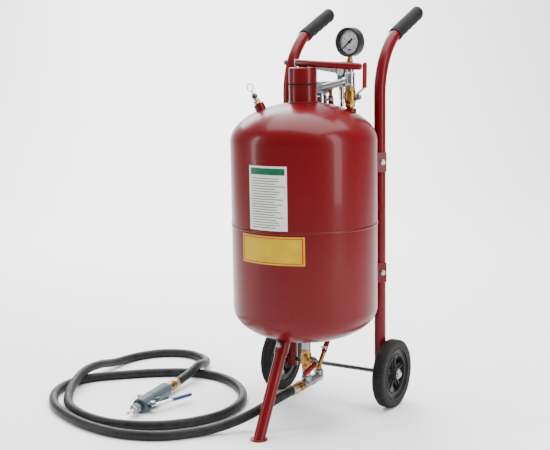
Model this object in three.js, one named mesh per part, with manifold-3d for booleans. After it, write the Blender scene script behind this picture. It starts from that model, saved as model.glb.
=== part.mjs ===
// Portable pressure abrasive blaster: a welded tank on a two-wheel trolley, with a blast hose and a gun.
// Millimetres, +Z up. While building, the tank's axis is x = y = 0 and the floor is z = 0; -Y is the front.
import * as THREE from 'three';
import { mergeVertices } from 'three/addons/utils/BufferGeometryUtils.js';
import Module from 'manifold-3d';

const wasm = await Module();
wasm.setup();

// ---------- driving dimensions ----------
const GAP = 0.3;                     // clearance between touching pieces
const TANK_R = 205;
const TANK_WALL = 3.5;
const TANK_SIDES = 36;
const SEAM_Z = 560;
const BARREL_LOW_Z = 321.5;
const BARREL_HIGH_Z = 789.5;
const TOP_HEAD_H = 108;
const BOTTOM_HEAD_H = 99;
const NECK_R = 39;
const NECK_BORE_R = 34;
const NECK_TOP_Z = 944;
const CAP_TOP_Z = 992;
const GASKET_H = 4.4;
const CAP_BAR_R = 9.5;
const CAP_BAR_DROP = THREE.MathUtils.degToRad(3);

const TUBE_R = 16.6;
const TUBE_BORE_R = 14.6;
const TUBE_X = 150;
const TUBE_Y = 173.5;
const TUBE_END_Z = 80;
const BEND_START_Z = 905;
const BEND_R = 200;
const BEND_ANGLE = THREE.MathUtils.degToRad(68);
const HANDLE_STRAIGHT = 134;
const GRIP_R = 19.5;
const GRIP_START_ANGLE = THREE.MathUtils.degToRad(59);
const BRACKET_ZS = { upper: 720, lower: 400 };
const BRACKET_H = 56;

const AXLE_R = 6.25;
const AXLE_Z = 100;
const WHEEL_R = 100;
const TYRE_INNER_R = 72;
const TYRE_W = 36;
const WHEEL_X = 188;
const HUB_W = 40;
const RIM_INNER_R = 54;
const SPOKES = 5;
const SPOKE_W = 20;

const LEG_R = 16;
const LEG_TOP = new THREE.Vector3(0, -122, 243);
const FOOT = new THREE.Vector3(0, -260, 0);
const FOOT_R = 24;

const OUTLET_Z = 90;                 // height of the mixing tee's run
const PIPE_R = 13.5;                 // fittings for half-inch pipe
const BORE_R = 7.5;
const THREAD_R = 10.4;               // male ends, and the sockets that take them
const SOCKET_R = 11.1;
const SAND_VALVE_Z = 162;
const STACK = { x: 118, y: 55 };     // vertical axis of the air valve and the gauge
const AIR_VALVE_Z = 909;
const VALVE_HALF = 28;
const STACK_TEE_Z = 954;
const GAUGE_Z = 1059;
const GAUGE_R = 40;
const GAUGE_YAW = THREE.MathUtils.degToRad(-7);
const HEADER_Y = 172;                // line of the separator and regulator, behind the neck
const REGULATOR_X = 44;

const HOSE_R = 13.5;
const AIR_HOSE_R = 8;
const GUN_PLACE = new THREE.Vector3(-452, -74, 23);
const GUN_HEADING = THREE.MathUtils.degToRad(-80);

// ---------- materials ----------
const finish = (color, roughness, metalness) => (
  new THREE.MeshStandardMaterial({ color, roughness, metalness }));
const RED_PAINT = finish(0xa01318, 0.28, 0.1);
const RED_RUBBER = finish(0xb3201f, 0.55, 0);
const RED_VINYL = finish(0xb5161c, 0.45, 0);
const BLACK_RUBBER = finish(0x1c1c1d, 0.75, 0);
const BLACK_PLASTIC = finish(0x202022, 0.5, 0);
const BRASS = finish(0xb58a45, 0.35, 1);
const ZINC = finish(0xb9bcc0, 0.35, 1);
const CHROME = finish(0xd6d8da, 0.15, 1);
const CAST_GREY = finish(0x59656b, 0.55, 0.3);
const CERAMIC = finish(0xe9e6e0, 0.4, 0);

// ---------- solids ----------
function toSolid(geometry) {
  geometry.deleteAttribute('normal');
  geometry.deleteAttribute('uv');
  const merged = mergeVertices(geometry, 1e-3);
  const triVerts = new Uint32Array(merged.index.array);
  const vertProperties = new Float32Array(merged.attributes.position.array);
  const solid = new wasm.Manifold(new wasm.Mesh({ numProp: 3, vertProperties, triVerts }));
  if (solid.volume() >= 0) return solid;
  for (let i = 0; i < triVerts.length; i += 3) {
    [triVerts[i + 1], triVerts[i + 2]] = [triVerts[i + 2], triVerts[i + 1]];
  }
  return new wasm.Manifold(new wasm.Mesh({ numProp: 3, vertProperties, triVerts }));
}

const join = (first, ...rest) => rest.reduce((solid, other) => solid.add(other), first);
const cut = (first, ...rest) => rest.reduce((solid, other) => solid.subtract(other), first);
const vec = (x, y, z) => new THREE.Vector3(x, y, z);
const UP = vec(0, 0, 1);

// Turned shape from [radius, height] points, its axis starting at `from` and pointing along `along`.
function turned(points, from = vec(0, 0, 0), along = UP, sides = 12) {
  const geometry = new THREE.LatheGeometry(points.map(([r, h]) => new THREE.Vector2(r, h)), sides);
  const turn = new THREE.Quaternion().setFromUnitVectors(vec(0, 1, 0), along.clone().normalize());
  geometry.applyQuaternion(turn);
  geometry.translate(from.x, from.y, from.z);
  return toSolid(geometry);
}

// Round bar between two points; six sides make a hexagon of that corner radius.
function rod(radius, from, to, sides = 12) {
  const length = from.distanceTo(to);
  return turned([[0, 0], [radius, 0], [radius, length], [0, length]], from, to.clone().sub(from), sides);
}

function pipe(outer, inner, from, to, sides = 12) {
  const length = from.distanceTo(to);
  const points = [[inner, 0], [outer, 0], [outer, length], [inner, length], [inner, 0]];
  return turned(points, from, to.clone().sub(from), sides);
}

const hexBar = (acrossFlats, from, to) => rod(acrossFlats / Math.sqrt(3), from, to, 6);

function ball(radius, centre, sides = 16) {
  const geometry = new THREE.SphereGeometry(radius, sides, sides / 2);
  geometry.translate(centre.x, centre.y, centre.z);
  return toSolid(geometry);
}

function block(size, centre, yaw = 0) {
  const geometry = new THREE.BoxGeometry(size.x, size.y, size.z);
  geometry.rotateZ(yaw);
  geometry.translate(centre.x, centre.y, centre.z);
  return toSolid(geometry);
}

// A curve that puts one station of a sweep on each of its points, however far apart they are.
class Route extends THREE.CatmullRomCurve3 {
  getUtoTmapping(u) {
    return u;
  }
}

function sweep(points, radius, sides = 12) {
  const section = new THREE.Shape();
  section.absarc(0, 0, radius, 0, 2 * Math.PI, false);
  const geometry = new THREE.ExtrudeGeometry(section, {
    steps: points.length - 1,
    curveSegments: sides / 2,          // a full circle gets twice this number
    extrudePath: new Route(points),
  });
  return toSolid(geometry);
}

const outerModel = new THREE.Group();      // the standing object
const hoseModel = new THREE.Group();       // the blast hose and what is on it
function addPart(name, solid, material, group = outerModel) {
  const { vertProperties, triVerts } = solid.getMesh();
  const geometry = new THREE.BufferGeometry();
  geometry.setAttribute('position', new THREE.BufferAttribute(vertProperties, 3));
  geometry.setIndex(new THREE.BufferAttribute(triVerts, 1));
  const mesh = new THREE.Mesh(geometry, material);
  mesh.name = name;
  group.add(mesh);
}

// ---------- tank ----------
// Points of an elliptical head from the barrel's edge to a hole on the axis.
function headArc(radius, height, edgeZ, holeR, steps = 6) {
  const start = Math.acos(holeR / radius);
  return Array.from({ length: steps + 1 }, (_, i) => {
    const angle = (start * i) / steps;
    return [radius * Math.cos(angle), edgeZ + height * Math.sin(angle)];
  });
}

function shell(seamZ, edgeZ, height, holeR) {
  const sign = Math.sign(height);
  const inner = headArc(TANK_R - TANK_WALL, height - sign * TANK_WALL, edgeZ, holeR).reverse();
  const outer = headArc(TANK_R, height, edgeZ, holeR);
  const seam = [[TANK_R - TANK_WALL, seamZ], [TANK_R, seamZ]];
  return turned([...seam, ...outer, ...inner, seam[0]], vec(0, 0, 0), UP, TANK_SIDES);
}

// The tank's outside as one solid, grown by a margin, to fit other pieces against it.
function tankEnvelope(margin) {
  const radius = TANK_R + margin;
  const top = headArc(radius, TOP_HEAD_H + margin, BARREL_HIGH_Z, 0);
  const bottom = headArc(radius, -BOTTOM_HEAD_H - margin, BARREL_LOW_Z, 0).reverse();
  return turned([...bottom, ...top], vec(0, 0, 0), UP, TANK_SIDES);
}

const insideTank = tankEnvelope(-1);        // welded pieces run 1 mm into the wall
const SIDES = { left: -1, right: 1 };
const RADIAL_LENGTH = Math.hypot(TUBE_X, TUBE_Y);
const radialOf = (side) => vec((side * TUBE_X) / RADIAL_LENGTH, TUBE_Y / RADIAL_LENGTH, 0);
const tangentOf = (side) => vec((side * TUBE_Y) / RADIAL_LENGTH, -TUBE_X / RADIAL_LENGTH, 0);

// Channel that holds a frame tube: a web against the tank and a cheek on each side of the tube.
function tubeBracket(side, z) {
  const radial = radialOf(side);
  const yaw = Math.atan2(radial.y, radial.x);
  const at = (alongRadial, alongTangent) => radial.clone().multiplyScalar(alongRadial)
    .addScaledVector(tangentOf(side), alongTangent).setZ(z);
  const cheek = (offset) => block(vec(44, 3, BRACKET_H), at(220, offset), yaw);
  const web = block(vec(12, 37, BRACKET_H), at(204, 0), yaw);
  const hole = rod(4.3, at(RADIAL_LENGTH, -30), at(RADIAL_LENGTH, 30));
  return cut(join(web, cheek(18.5), cheek(-18.5)), insideTank, hole);
}

function frameBoltSpan(side, z) {
  const centre = vec(side * TUBE_X, TUBE_Y, z);
  return (offset) => centre.clone().addScaledVector(tangentOf(side), offset);
}

const neck = cut(
  pipe(NECK_R, NECK_BORE_R, vec(0, 0, 860), vec(0, 0, NECK_TOP_Z), 28),
  insideTank,
);
const safetyBase = vec(-99, -57, 872);
const safetyAxis = vec(-0.38, -0.21, 0.9).normalize();
const alongSafety = (distance) => safetyBase.clone().addScaledVector(safetyAxis, distance);
const safetyBung = cut(pipe(15, 5, alongSafety(-14), alongSafety(24)), insideTank);
const airBung = cut(pipe(17, BORE_R, vec(STACK.x, STACK.y, 850), vec(STACK.x, STACK.y, 878)), insideTank);
const safetyHole = rod(5, alongSafety(-30), alongSafety(20));
const airHole = join(
  rod(BORE_R, vec(STACK.x, STACK.y, 840), vec(STACK.x, STACK.y, 900)),
  rod(SOCKET_R, vec(STACK.x, STACK.y, 868), vec(STACK.x, STACK.y, 900)),
);

const upperShell = join(
  shell(SEAM_Z + 4, BARREL_HIGH_Z, TOP_HEAD_H, NECK_BORE_R),
  neck,
  safetyBung,
  airBung,
  tubeBracket(SIDES.left, BRACKET_ZS.upper),
  tubeBracket(SIDES.right, BRACKET_ZS.upper),
);
addPart('tank_upper_shell', cut(upperShell, safetyHole, airHole), RED_PAINT);

const legAxis = FOOT.clone().sub(LEG_TOP).normalize();
const alongLeg = (distance) => LEG_TOP.clone().addScaledVector(legAxis, distance);
const legBoltAxis = vec(0, legAxis.z, -legAxis.y);
const acrossLeg = (offset) => alongLeg(18).addScaledVector(legBoltAxis, offset);
const legSocket = cut(
  pipe(19, LEG_R + GAP, alongLeg(-40), alongLeg(40), 16),
  insideTank,
  rod(4.3, acrossLeg(-30), acrossLeg(30)),
);
const lowerShell = join(
  shell(SEAM_Z - 4, BARREL_LOW_Z, -BOTTOM_HEAD_H, BORE_R),
  legSocket,
  tubeBracket(SIDES.left, BRACKET_ZS.lower),
  tubeBracket(SIDES.right, BRACKET_ZS.lower),
);
addPart('tank_lower_shell', lowerShell, RED_PAINT);
addPart('tank_weld_band', turned(
  [[201.5, -3.7], [205.5, -3.7], [207, 0], [205.5, 3.7], [201.5, 3.7], [201.5, -3.7]],
  vec(0, 0, SEAM_Z), UP, TANK_SIDES,
), RED_PAINT);

// ---------- closure ----------
const gasket = pipe(
  38, NECK_BORE_R, vec(0, 0, NECK_TOP_Z + GAP), vec(0, 0, NECK_TOP_Z + GASKET_H), 28,
);
addPart('cap_gasket', gasket, BLACK_RUBBER);
const capBaseZ = NECK_TOP_Z + GASKET_H + GAP;
const cap = turned([
  [0, capBaseZ - 20], [33.4, capBaseZ - 20], [33.4, capBaseZ], [NECK_R, capBaseZ],
  [NECK_R, CAP_TOP_Z - 2], [NECK_R - 2, CAP_TOP_Z], [13, CAP_TOP_Z], [12, CAP_TOP_Z + 4], [0, CAP_TOP_Z + 4],
], vec(0, 0, 0), UP, 28);
const barCentre = vec(0, 0, CAP_TOP_Z + 2 + CAP_BAR_R);
const alongBar = (distance) => barCentre.clone()
  .add(vec(distance * Math.cos(CAP_BAR_DROP), 0, -distance * Math.sin(CAP_BAR_DROP)));
const barSeat = rod(CAP_BAR_R + 0.6, alongBar(-60), alongBar(120));
addPart('fill_cap', cut(cap, barSeat), RED_PAINT);
addPart('cap_lever_bar', turned([
  [0, 0], [CAP_BAR_R * 0.7, 1.5], [CAP_BAR_R, 6], [CAP_BAR_R, 201], [CAP_BAR_R * 0.7, 205.5], [0, 207],
], alongBar(-24), alongBar(1).sub(alongBar(0)), 16), RED_PAINT);

// ---------- trolley ----------
// Points along a frame tube's centre line: up, back round the bend, then along the grip.
function tubeLine(side, startZ, fromAngle, endLength) {
  const bendAt = (angle) => vec(
    side * TUBE_X,
    TUBE_Y + BEND_R * (1 - Math.cos(angle)),
    BEND_START_Z + BEND_R * Math.sin(angle),
  );
  const steps = 8;
  const bend = Array.from({ length: steps + 1 }, (_, i) => (
    bendAt(fromAngle + ((BEND_ANGLE - fromAngle) * i) / steps)));
  const end = bend[steps].clone().add(
    vec(0, Math.sin(BEND_ANGLE), Math.cos(BEND_ANGLE)).multiplyScalar(endLength));
  const straight = startZ === null ? [] : [vec(side * TUBE_X, TUBE_Y, startZ), bendAt(-0.08).setY(TUBE_Y)];
  return [...straight, ...bend, end];
}

const axleLine = (x) => vec(x, TUBE_Y, AXLE_Z);
const axleHole = rod(AXLE_R + GAP, axleLine(-220), axleLine(220));
const STRAP_BOLT = vec(-TUBE_X, 190, 1000);
const strapBoltAt = (x) => STRAP_BOLT.clone().setX(x);
const strapHole = rod(4.3, strapBoltAt(-190), strapBoltAt(-110));

for (const [name, side] of Object.entries(SIDES)) {
  const outside = sweep(tubeLine(side, TUBE_END_Z, 0, HANDLE_STRAIGHT), TUBE_R);
  const inside = sweep(tubeLine(side, TUBE_END_Z + 4, 0, HANDLE_STRAIGHT + 5), TUBE_BORE_R);
  const boltHoles = Object.values(BRACKET_ZS).map((z) => {
    const at = frameBoltSpan(side, z);
    return rod(4.3, at(-30), at(30));
  });
  const holes = side === SIDES.left ? [...boltHoles, strapHole] : boltHoles;
  addPart(`frame_tube_${name}`, cut(outside, inside, axleHole, ...holes), RED_PAINT);

  const grip = sweep(tubeLine(side, null, GRIP_START_ANGLE, HANDLE_STRAIGHT + 8), GRIP_R, 16);
  const gripBoreLine = tubeLine(side, null, GRIP_START_ANGLE - 0.03, HANDLE_STRAIGHT + 2);
  const gripBore = sweep(gripBoreLine, TUBE_R + 0.8, 16);
  addPart(`grip_${name}`, cut(grip, gripBore), BLACK_RUBBER);

  for (const [level, z] of Object.entries(BRACKET_ZS)) {
    const at = frameBoltSpan(side, z);
    addPart(`frame_bolt_${level}_${name}`, join(
      rod(4, at(-27), at(25)),
      hexBar(13, at(20.3), at(26)),
      hexBar(13, at(-20.3), at(-26)),
    ), ZINC);
  }

  const wheelAt = (offset) => axleLine(side * (WHEEL_X + offset));
  const outward = vec(side, 0, 0);
  addPart(`tyre_${name}`, turned([
    [TYRE_INNER_R, -TYRE_W / 2], [WHEEL_R - 8, -TYRE_W / 2], [WHEEL_R - 2, -TYRE_W / 2 + 4],
    [WHEEL_R, -8], [WHEEL_R, 8], [WHEEL_R - 2, TYRE_W / 2 - 4], [WHEEL_R - 8, TYRE_W / 2],
    [TYRE_INNER_R, TYRE_W / 2], [TYRE_INNER_R, -TYRE_W / 2],
  ], wheelAt(0), outward, 32), BLACK_RUBBER);
  const rim = pipe(TYRE_INNER_R - 1, RIM_INNER_R, wheelAt(-14), wheelAt(14), 32);
  const core = rod(19, wheelAt(-HUB_W / 2), wheelAt(HUB_W / 2), 20);
  const spokes = Array.from({ length: SPOKES }, (_, i) => {
    const geometry = new THREE.BoxGeometry(14, SPOKE_W, 45);
    geometry.translate(0, 0, 35.5);
    geometry.rotateX((2 * Math.PI * i) / SPOKES);
    geometry.translate(side * WHEEL_X, TUBE_Y, AXLE_Z);
    return toSolid(geometry);
  });
  addPart(`wheel_hub_${name}`, cut(join(core, rim, ...spokes), axleHole), BLACK_PLASTIC);
  addPart(`axle_cap_${name}`, turned([
    [0, 2], [AXLE_R + GAP, 2], [AXLE_R + GAP, 0], [14, 0], [14, 1.5], [10.5, 2], [10, 6], [6, 8], [0, 8.5],
  ], axleLine(side * 208.5), outward, 16), ZINC);
}
addPart('axle', rod(AXLE_R, axleLine(-210), axleLine(210)), CHROME);

const legBore = rod(LEG_R - 2.5, alongLeg(-10), alongLeg(262), 20);
const belowFloor = block(vec(200, 200, 100), vec(0, FOOT.y, -50));
const legTube = cut(rod(LEG_R, alongLeg(8), alongLeg(290), 20), legBore, belowFloor);
const footDisc = rod(FOOT_R, vec(0, FOOT.y, 0), vec(0, FOOT.y, 4.5), 24);
addPart('front_leg', cut(join(legTube, footDisc), rod(4.3, acrossLeg(-30), acrossLeg(30))), RED_PAINT);
addPart('leg_bolt', join(
  rod(4, acrossLeg(-26), acrossLeg(25)),
  hexBar(13, acrossLeg(19.5), acrossLeg(25)),
  hexBar(13, acrossLeg(-19.5), acrossLeg(-26)),
), ZINC);

// ---------- ball valves ----------
const BALL_R = 11;
const STEM_R = 4;
const VALVE_FLATS = 27;

// A ball valve on a vertical pipe, its stem along +X. leverTurn turns the lever about +X from straight up.
// It has a male thread below, or a socket where lowSocket is true.
function ballValve(name, centre, leverTurn, lowSocket) {
  const atStem = (offset) => centre.clone().add(vec(offset, 0, 0));
  const atPipe = (height) => centre.clone().add(vec(0, 0, height));
  const place = (solid) => solid.rotate([THREE.MathUtils.radToDeg(leverTurn), 0, 0])
    .translate([centre.x, centre.y, centre.z]);
  const body = join(
    turned([[0, -20], [12.8, -20], [16.5, -11], [16.5, 11], [12.8, 20], [0, 20]], centre, UP, 16),
    hexBar(VALVE_FLATS, atPipe(-VALVE_HALF), atPipe(-17)),
    hexBar(VALVE_FLATS, atPipe(17), atPipe(VALVE_HALF)),
    rod(8.5, atStem(0), atStem(22.5), 16),
  );
  const hollow = [
    rod(BORE_R, atPipe(-40), atPipe(40), 12),
    ball(BALL_R + 1, centre, 12),
    rod(STEM_R + GAP, atStem(0), atStem(30)),
    rod(SOCKET_R, atPipe(VALVE_HALF - 9), atPipe(40)),
  ];
  const bored = cut(body, ...hollow);
  const ended = lowSocket
    ? cut(bored, rod(SOCKET_R, atPipe(-40), atPipe(-VALVE_HALF + 9)))
    : join(bored, pipe(THREAD_R, BORE_R, atPipe(-VALVE_HALF - 9), atPipe(-20)));
  addPart(`${name}_body`, ended, BRASS);

  const origin = vec(0, 0, 0);
  const ballSolid = cut(ball(BALL_R, origin, 12), rod(BORE_R, vec(0, 0, -20), vec(0, 0, 20), 12));
  const stem = rod(STEM_R, vec(9.5, 0, 0), vec(34, 0, 0), 12);
  addPart(`${name}_ball`, place(join(ballSolid, stem, hexBar(13, vec(27, 0, 0), vec(33, 0, 0)))), CHROME);

  const plate = new THREE.Shape([
    [23.3, -9], [26.3, -9], [26.3, 10.5], [46, 25.5], [47.5, 97], [44.5, 97], [43, 27], [23.3, 12],
  ].map(([offset, height]) => new THREE.Vector2(offset, height)));
  const plateGeometry = new THREE.ExtrudeGeometry(plate, { depth: 13, bevelEnabled: false });
  plateGeometry.rotateX(Math.PI / 2);
  plateGeometry.translate(0, 6.5, 0);
  const sleeve = block(vec(9, 15, 70), vec(45.3, 0, 61));
  const stemHole = rod(STEM_R + GAP, vec(15, 0, 0), vec(35, 0, 0), 12);
  addPart(`${name}_lever`, place(cut(join(toSolid(plateGeometry), sleeve), stemHole)), RED_VINYL);
}

const onAxis = (z) => vec(0, 0, z);
const sandTop = SAND_VALVE_Z + VALVE_HALF;
const sandBottom = SAND_VALVE_Z - VALVE_HALF;
const outletNipple = join(
  pipe(13, BORE_R, onAxis(sandTop + GAP), onAxis(235), 16),
  pipe(THREAD_R, BORE_R, onAxis(sandTop - 8), onAxis(sandTop + 1), 16),
);
addPart('outlet_nipple', cut(outletNipple, tankEnvelope(2)), ZINC);
ballValve('sand_valve', onAxis(SAND_VALVE_Z), THREE.MathUtils.degToRad(100), true);

// ---------- outlet ----------
const branchTop = OUTLET_Z + 22;
addPart('lower_nipple', join(
  pipe(THREAD_R, BORE_R, onAxis(branchTop - 8), onAxis(sandBottom + 8), 16),
  pipe(12.5, BORE_R, onAxis(branchTop + GAP), onAxis(sandBottom - GAP), 16),
), ZINC);
const runAt = (y) => vec(0, y, OUTLET_Z);
const TEE_FRONT_Y = -24;
const TEE_BACK_Y = 30;
const ELBOW_Y = 73;
addPart('mixing_tee', cut(
  join(
    rod(PIPE_R, runAt(TEE_FRONT_Y), runAt(TEE_BACK_Y), 16),
    rod(PIPE_R + 1.5, runAt(TEE_BACK_Y - 8), runAt(TEE_BACK_Y), 16),
    rod(PIPE_R + 1.5, runAt(TEE_FRONT_Y), runAt(TEE_FRONT_Y + 8), 16),
    rod(PIPE_R, onAxis(OUTLET_Z), onAxis(branchTop), 16),
  ),
  rod(BORE_R, runAt(-40), runAt(40)),
  rod(BORE_R, runAt(0), onAxis(branchTop + 5)),
  rod(SOCKET_R, onAxis(branchTop - 9), onAxis(branchTop + 5)),
), ZINC);
const elbowCorner = runAt(ELBOW_Y);
const elbowTop = vec(0, ELBOW_Y, OUTLET_Z + 22);
addPart('air_elbow', cut(
  join(
    rod(PIPE_R, runAt(TEE_BACK_Y + GAP), elbowCorner, 16),
    ball(PIPE_R, elbowCorner, 16),
    rod(PIPE_R, elbowCorner, elbowTop, 16),
  ),
  rod(6, runAt(20), elbowCorner),
  rod(6, elbowCorner, elbowTop.clone().add(vec(0, 0, 5))),
), ZINC);

const airHoseRoute = [
  vec(0, 104, 157), vec(0, 114, 170), vec(-1, 135, 192), vec(-3, 172, 224), vec(-5, 205, 262),
  vec(-7, 219, 310), vec(-8, 218, 380), vec(-8, 217, 580), vec(-8, 217, 760), vec(-8, 214, 800),
  vec(-8, 200, 838), vec(-8, 182, 868), vec(-8, 173, 890), vec(-8, 172, 904.5),
];
const hoseEndAxis = airHoseRoute[1].clone().sub(airHoseRoute[0]).normalize();
const barbBend = vec(0, ELBOW_Y, elbowTop.z + 9);
const barbTip = airHoseRoute[0].clone().addScaledVector(hoseEndAxis, -0.6);
addPart('air_hose_barb', join(
  hexBar(19, elbowTop.clone().add(vec(0, 0, GAP)), barbBend),
  ball(8, barbBend),
  rod(6.5, barbBend, barbTip),
), BRASS);
addPart('air_hose', sweep(airHoseRoute, AIR_HOSE_R), RED_RUBBER);

addPart('outlet_swivel', join(
  hexBar(27, runAt(TEE_FRONT_Y - GAP), runAt(-38)),
  rod(15, runAt(-37), runAt(-60), 16),
), BRASS);
addPart('outlet_ferrule', rod(15.5, runAt(-60 - GAP), runAt(-87.6), 16), ZINC);

// ---------- air valve, tee and gauge ----------
const onStack = (z) => vec(STACK.x, STACK.y, z);
ballValve('air_valve', onStack(AIR_VALVE_Z), 0, false);
const airTop = AIR_VALVE_Z + VALVE_HALF;
const teeCentre = onStack(STACK_TEE_Z);
const pipeEnd = vec(-38, 165, 927);
const alongPipe = (distance) => teeCentre.clone()
  .addScaledVector(pipeEnd.clone().sub(teeCentre).normalize(), distance);
addPart('stack_tee', cut(
  join(
    pipe(PIPE_R, BORE_R, onStack(airTop + GAP), onStack(STACK_TEE_Z + 23), 16),
    pipe(THREAD_R, BORE_R, onStack(airTop - 8), onStack(airTop + 5), 16),
    rod(PIPE_R, teeCentre, alongPipe(30), 16),
  ),
  rod(BORE_R, onStack(900), onStack(STACK_TEE_Z + 40)),
  rod(BORE_R, teeCentre, alongPipe(40)),
  rod(11.4, alongPipe(19), alongPipe(40), 16),
), CHROME);
addPart('inlet_pipe', pipe(10.65, 8, alongPipe(19.5), pipeEnd, 16), ZINC);

const riserBottom = STACK_TEE_Z + 23 + GAP;
const riserTop = 1003;
addPart('gauge_riser', rod(11, onStack(riserBottom), onStack(riserTop), 16), CHROME);
const gaugeAxis = vec(Math.sin(GAUGE_YAW), -Math.cos(GAUGE_YAW), 0);
const gaugeCentre = onStack(GAUGE_Z);
const gaugeCase = turned([
  [0, -18], [36, -18], [GAUGE_R, -14], [GAUGE_R, 14], [37, 14], [36, 9], [35, 9], [35, 1], [0, 1],
], gaugeCentre, gaugeAxis, 32);
const gaugeStem = join(
  hexBar(17, onStack(riserTop + GAP), onStack(1014)),
  rod(6.5, onStack(1010), onStack(GAUGE_Z - 30)),
);
const dialSpace = rod(35, gaugeCentre.clone().addScaledVector(gaugeAxis, 1),
  gaugeCentre.clone().addScaledVector(gaugeAxis, 20), 32);
addPart('gauge_case', cut(join(gaugeCase, gaugeStem), dialSpace), BLACK_PLASTIC);
const needle = new THREE.BoxGeometry(3, 1.2, 38);
needle.translate(0, -4.2, 9);
needle.rotateY(THREE.MathUtils.degToRad(-130));
needle.rotateZ(GAUGE_YAW);
needle.translate(gaugeCentre.x, gaugeCentre.y, gaugeCentre.z);
const hubAt = (offset) => gaugeCentre.clone().addScaledVector(gaugeAxis, offset);
addPart('gauge_needle', join(toSolid(needle), rod(4, hubAt(2), hubAt(6), 16)), BLACK_PLASTIC);

// ---------- separator and regulator ----------
const separator = vec(-45, HEADER_Y, 929);
const headBlock = block(vec(50, 40, 34), separator);
addPart('separator_head', cut(headBlock, rod(11.4, alongPipe(100), alongPipe(194), 20)), ZINC);
const bowlTop = separator.z - 17 - GAP;
addPart('separator_bowl', turned([
  [0, 866], [17, 866], [21.5, 870], [23, 876], [23, bowlTop], [20, bowlTop], [20, 876], [0, 871],
], vec(separator.x, separator.y, 0), UP, 24), CHROME);
const linkAt = (x) => vec(x, HEADER_Y, 937);
addPart('link_tee', join(
  rod(6.5, linkAt(-20 + GAP), linkAt(REGULATOR_X - 17 - GAP)),
  rod(7.5, linkAt(-8), linkAt(-8).setZ(922)),
  rod(5.5, linkAt(-8), linkAt(-8).setZ(905)),
), BRASS);
const regulator = vec(REGULATOR_X, 163, 961);
addPart('regulator_body', block(vec(34, 29.4, 60), regulator), CAST_GREY);
const regulatorAt = (z) => vec(regulator.x, regulator.y, z);
addPart('regulator_knob', rod(13, regulatorAt(991 + GAP), regulatorAt(1003), 16), BLACK_PLASTIC);
const smallGauge = vec(REGULATOR_X - 1, regulator.y - 14.7 - GAP, 976);
addPart('regulator_gauge', turned(
  [[0, 0], [5, 0], [5, 3], [13, 3], [13.5, 4], [13.5, 12], [12, 12], [12, 11], [0, 11]],
  smallGauge, vec(0, -1, 0), 24,
), BLACK_PLASTIC);
addPart('inlet_plug', turned([
  [0, 0], [8.5, 0], [8.5, 10], [7, 10], [7, 34], [5, 35], [5, 42], [6, 44], [6, 50], [4.5, 56], [0, 56],
], regulatorAt(931 - GAP).setX(REGULATOR_X - 10), vec(0, 0, -1), 16), CHROME);

const STRAP_Y = 178;
const strapShape = new THREE.Shape([
  [-133 + GAP, 990], [REGULATOR_X + 10, 963], [REGULATOR_X + 10, 983], [-133 + GAP, 1010],
].map(([x, z]) => new THREE.Vector2(x, z)));
const strapGeometry = new THREE.ExtrudeGeometry(strapShape, { depth: 3, bevelEnabled: false });
strapGeometry.rotateX(Math.PI / 2);
strapGeometry.translate(0, STRAP_Y + 3, 0);
const strapTab = block(vec(3, 26, 22), vec(-131.2, 190, 1000));
addPart('mounting_strap', cut(join(toSolid(strapGeometry), strapTab), strapHole), ZINC);
addPart('strap_bolt', join(
  rod(4, strapBoltAt(-172), strapBoltAt(-124)),
  hexBar(13, strapBoltAt(-167), strapBoltAt(-173)),
  hexBar(13, strapBoltAt(-129.4), strapBoltAt(-123.5)),
), ZINC);

// ---------- safety valve ----------
addPart('safety_valve', cut(
  join(hexBar(19, alongSafety(24 + GAP), alongSafety(34)), rod(8, alongSafety(33), alongSafety(56), 16)),
  rod(2.3, alongSafety(30), alongSafety(60), 12),
), BRASS);
const ring = new THREE.TorusGeometry(10, 1.4, 6, 16);
ring.rotateX(Math.PI / 2);
ring.rotateY(-0.4);
const ringCentre = alongSafety(74);
ring.translate(ringCentre.x, ringCentre.y, ringCentre.z);
addPart('safety_pull_ring', join(toSolid(ring), rod(2, alongSafety(31), alongSafety(66), 12)), CHROME);

// ---------- blast hose ----------
const blastHosePoints = [
  [0, -90, 90], [-2, -121, 88.5], [-13, -157, 80], [-38, -195, 61], [-80, -236, 36],
  [-131, -283, 17], [-172, -335, 13.7], [-229, -392, 13.7], [-333, -431, 13.7], [-448, -426, 13.7],
  [-563, -390, 13.7], [-670, -328, 13.7], [-746, -242, 13.7], [-775, -150, 13.7], [-755, -65, 13.7],
  [-685, 12, 13.7], [-600, 85, 13.7], [-510, 133, 13.7], [-415, 143, 13.7], [-325, 107, 13.7],
  [-243, 32, 13.7], [-193, -68, 13.7], [-186, -165, 13.7], [-222, -258, 13.7], [-300, -336, 13.7],
  [-425, -377, 13.7], [-550, -354, 13.7], [-645, -296, 14.5], [-712, -208, 25], [-757, -95, 42],
  [-774, 0, 38], [-786, 95, 20], [-785, 185, 13.7], [-735, 275, 13.7], [-645, 312, 13.7],
  [-555, 278, 15], [-500, 205, 29], [-478, 135, 42], [-468, 60, 31], [-465, 0, 23],
];
const HOSE_STEPS = 64;
const hoseCurve = new THREE.CatmullRomCurve3(blastHosePoints.map(([x, y, z]) => vec(x, y, z)));
hoseCurve.arcLengthDivisions = 2000;
const hoseStations = hoseCurve.getSpacedPoints(HOSE_STEPS)
  .map((point) => point.setZ(Math.max(point.z, HOSE_R + 0.2)));
hoseStations[0].y -= GAP;
addPart('blast_hose', sweep(hoseStations, HOSE_R, 8), BLACK_RUBBER, hoseModel);

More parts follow.
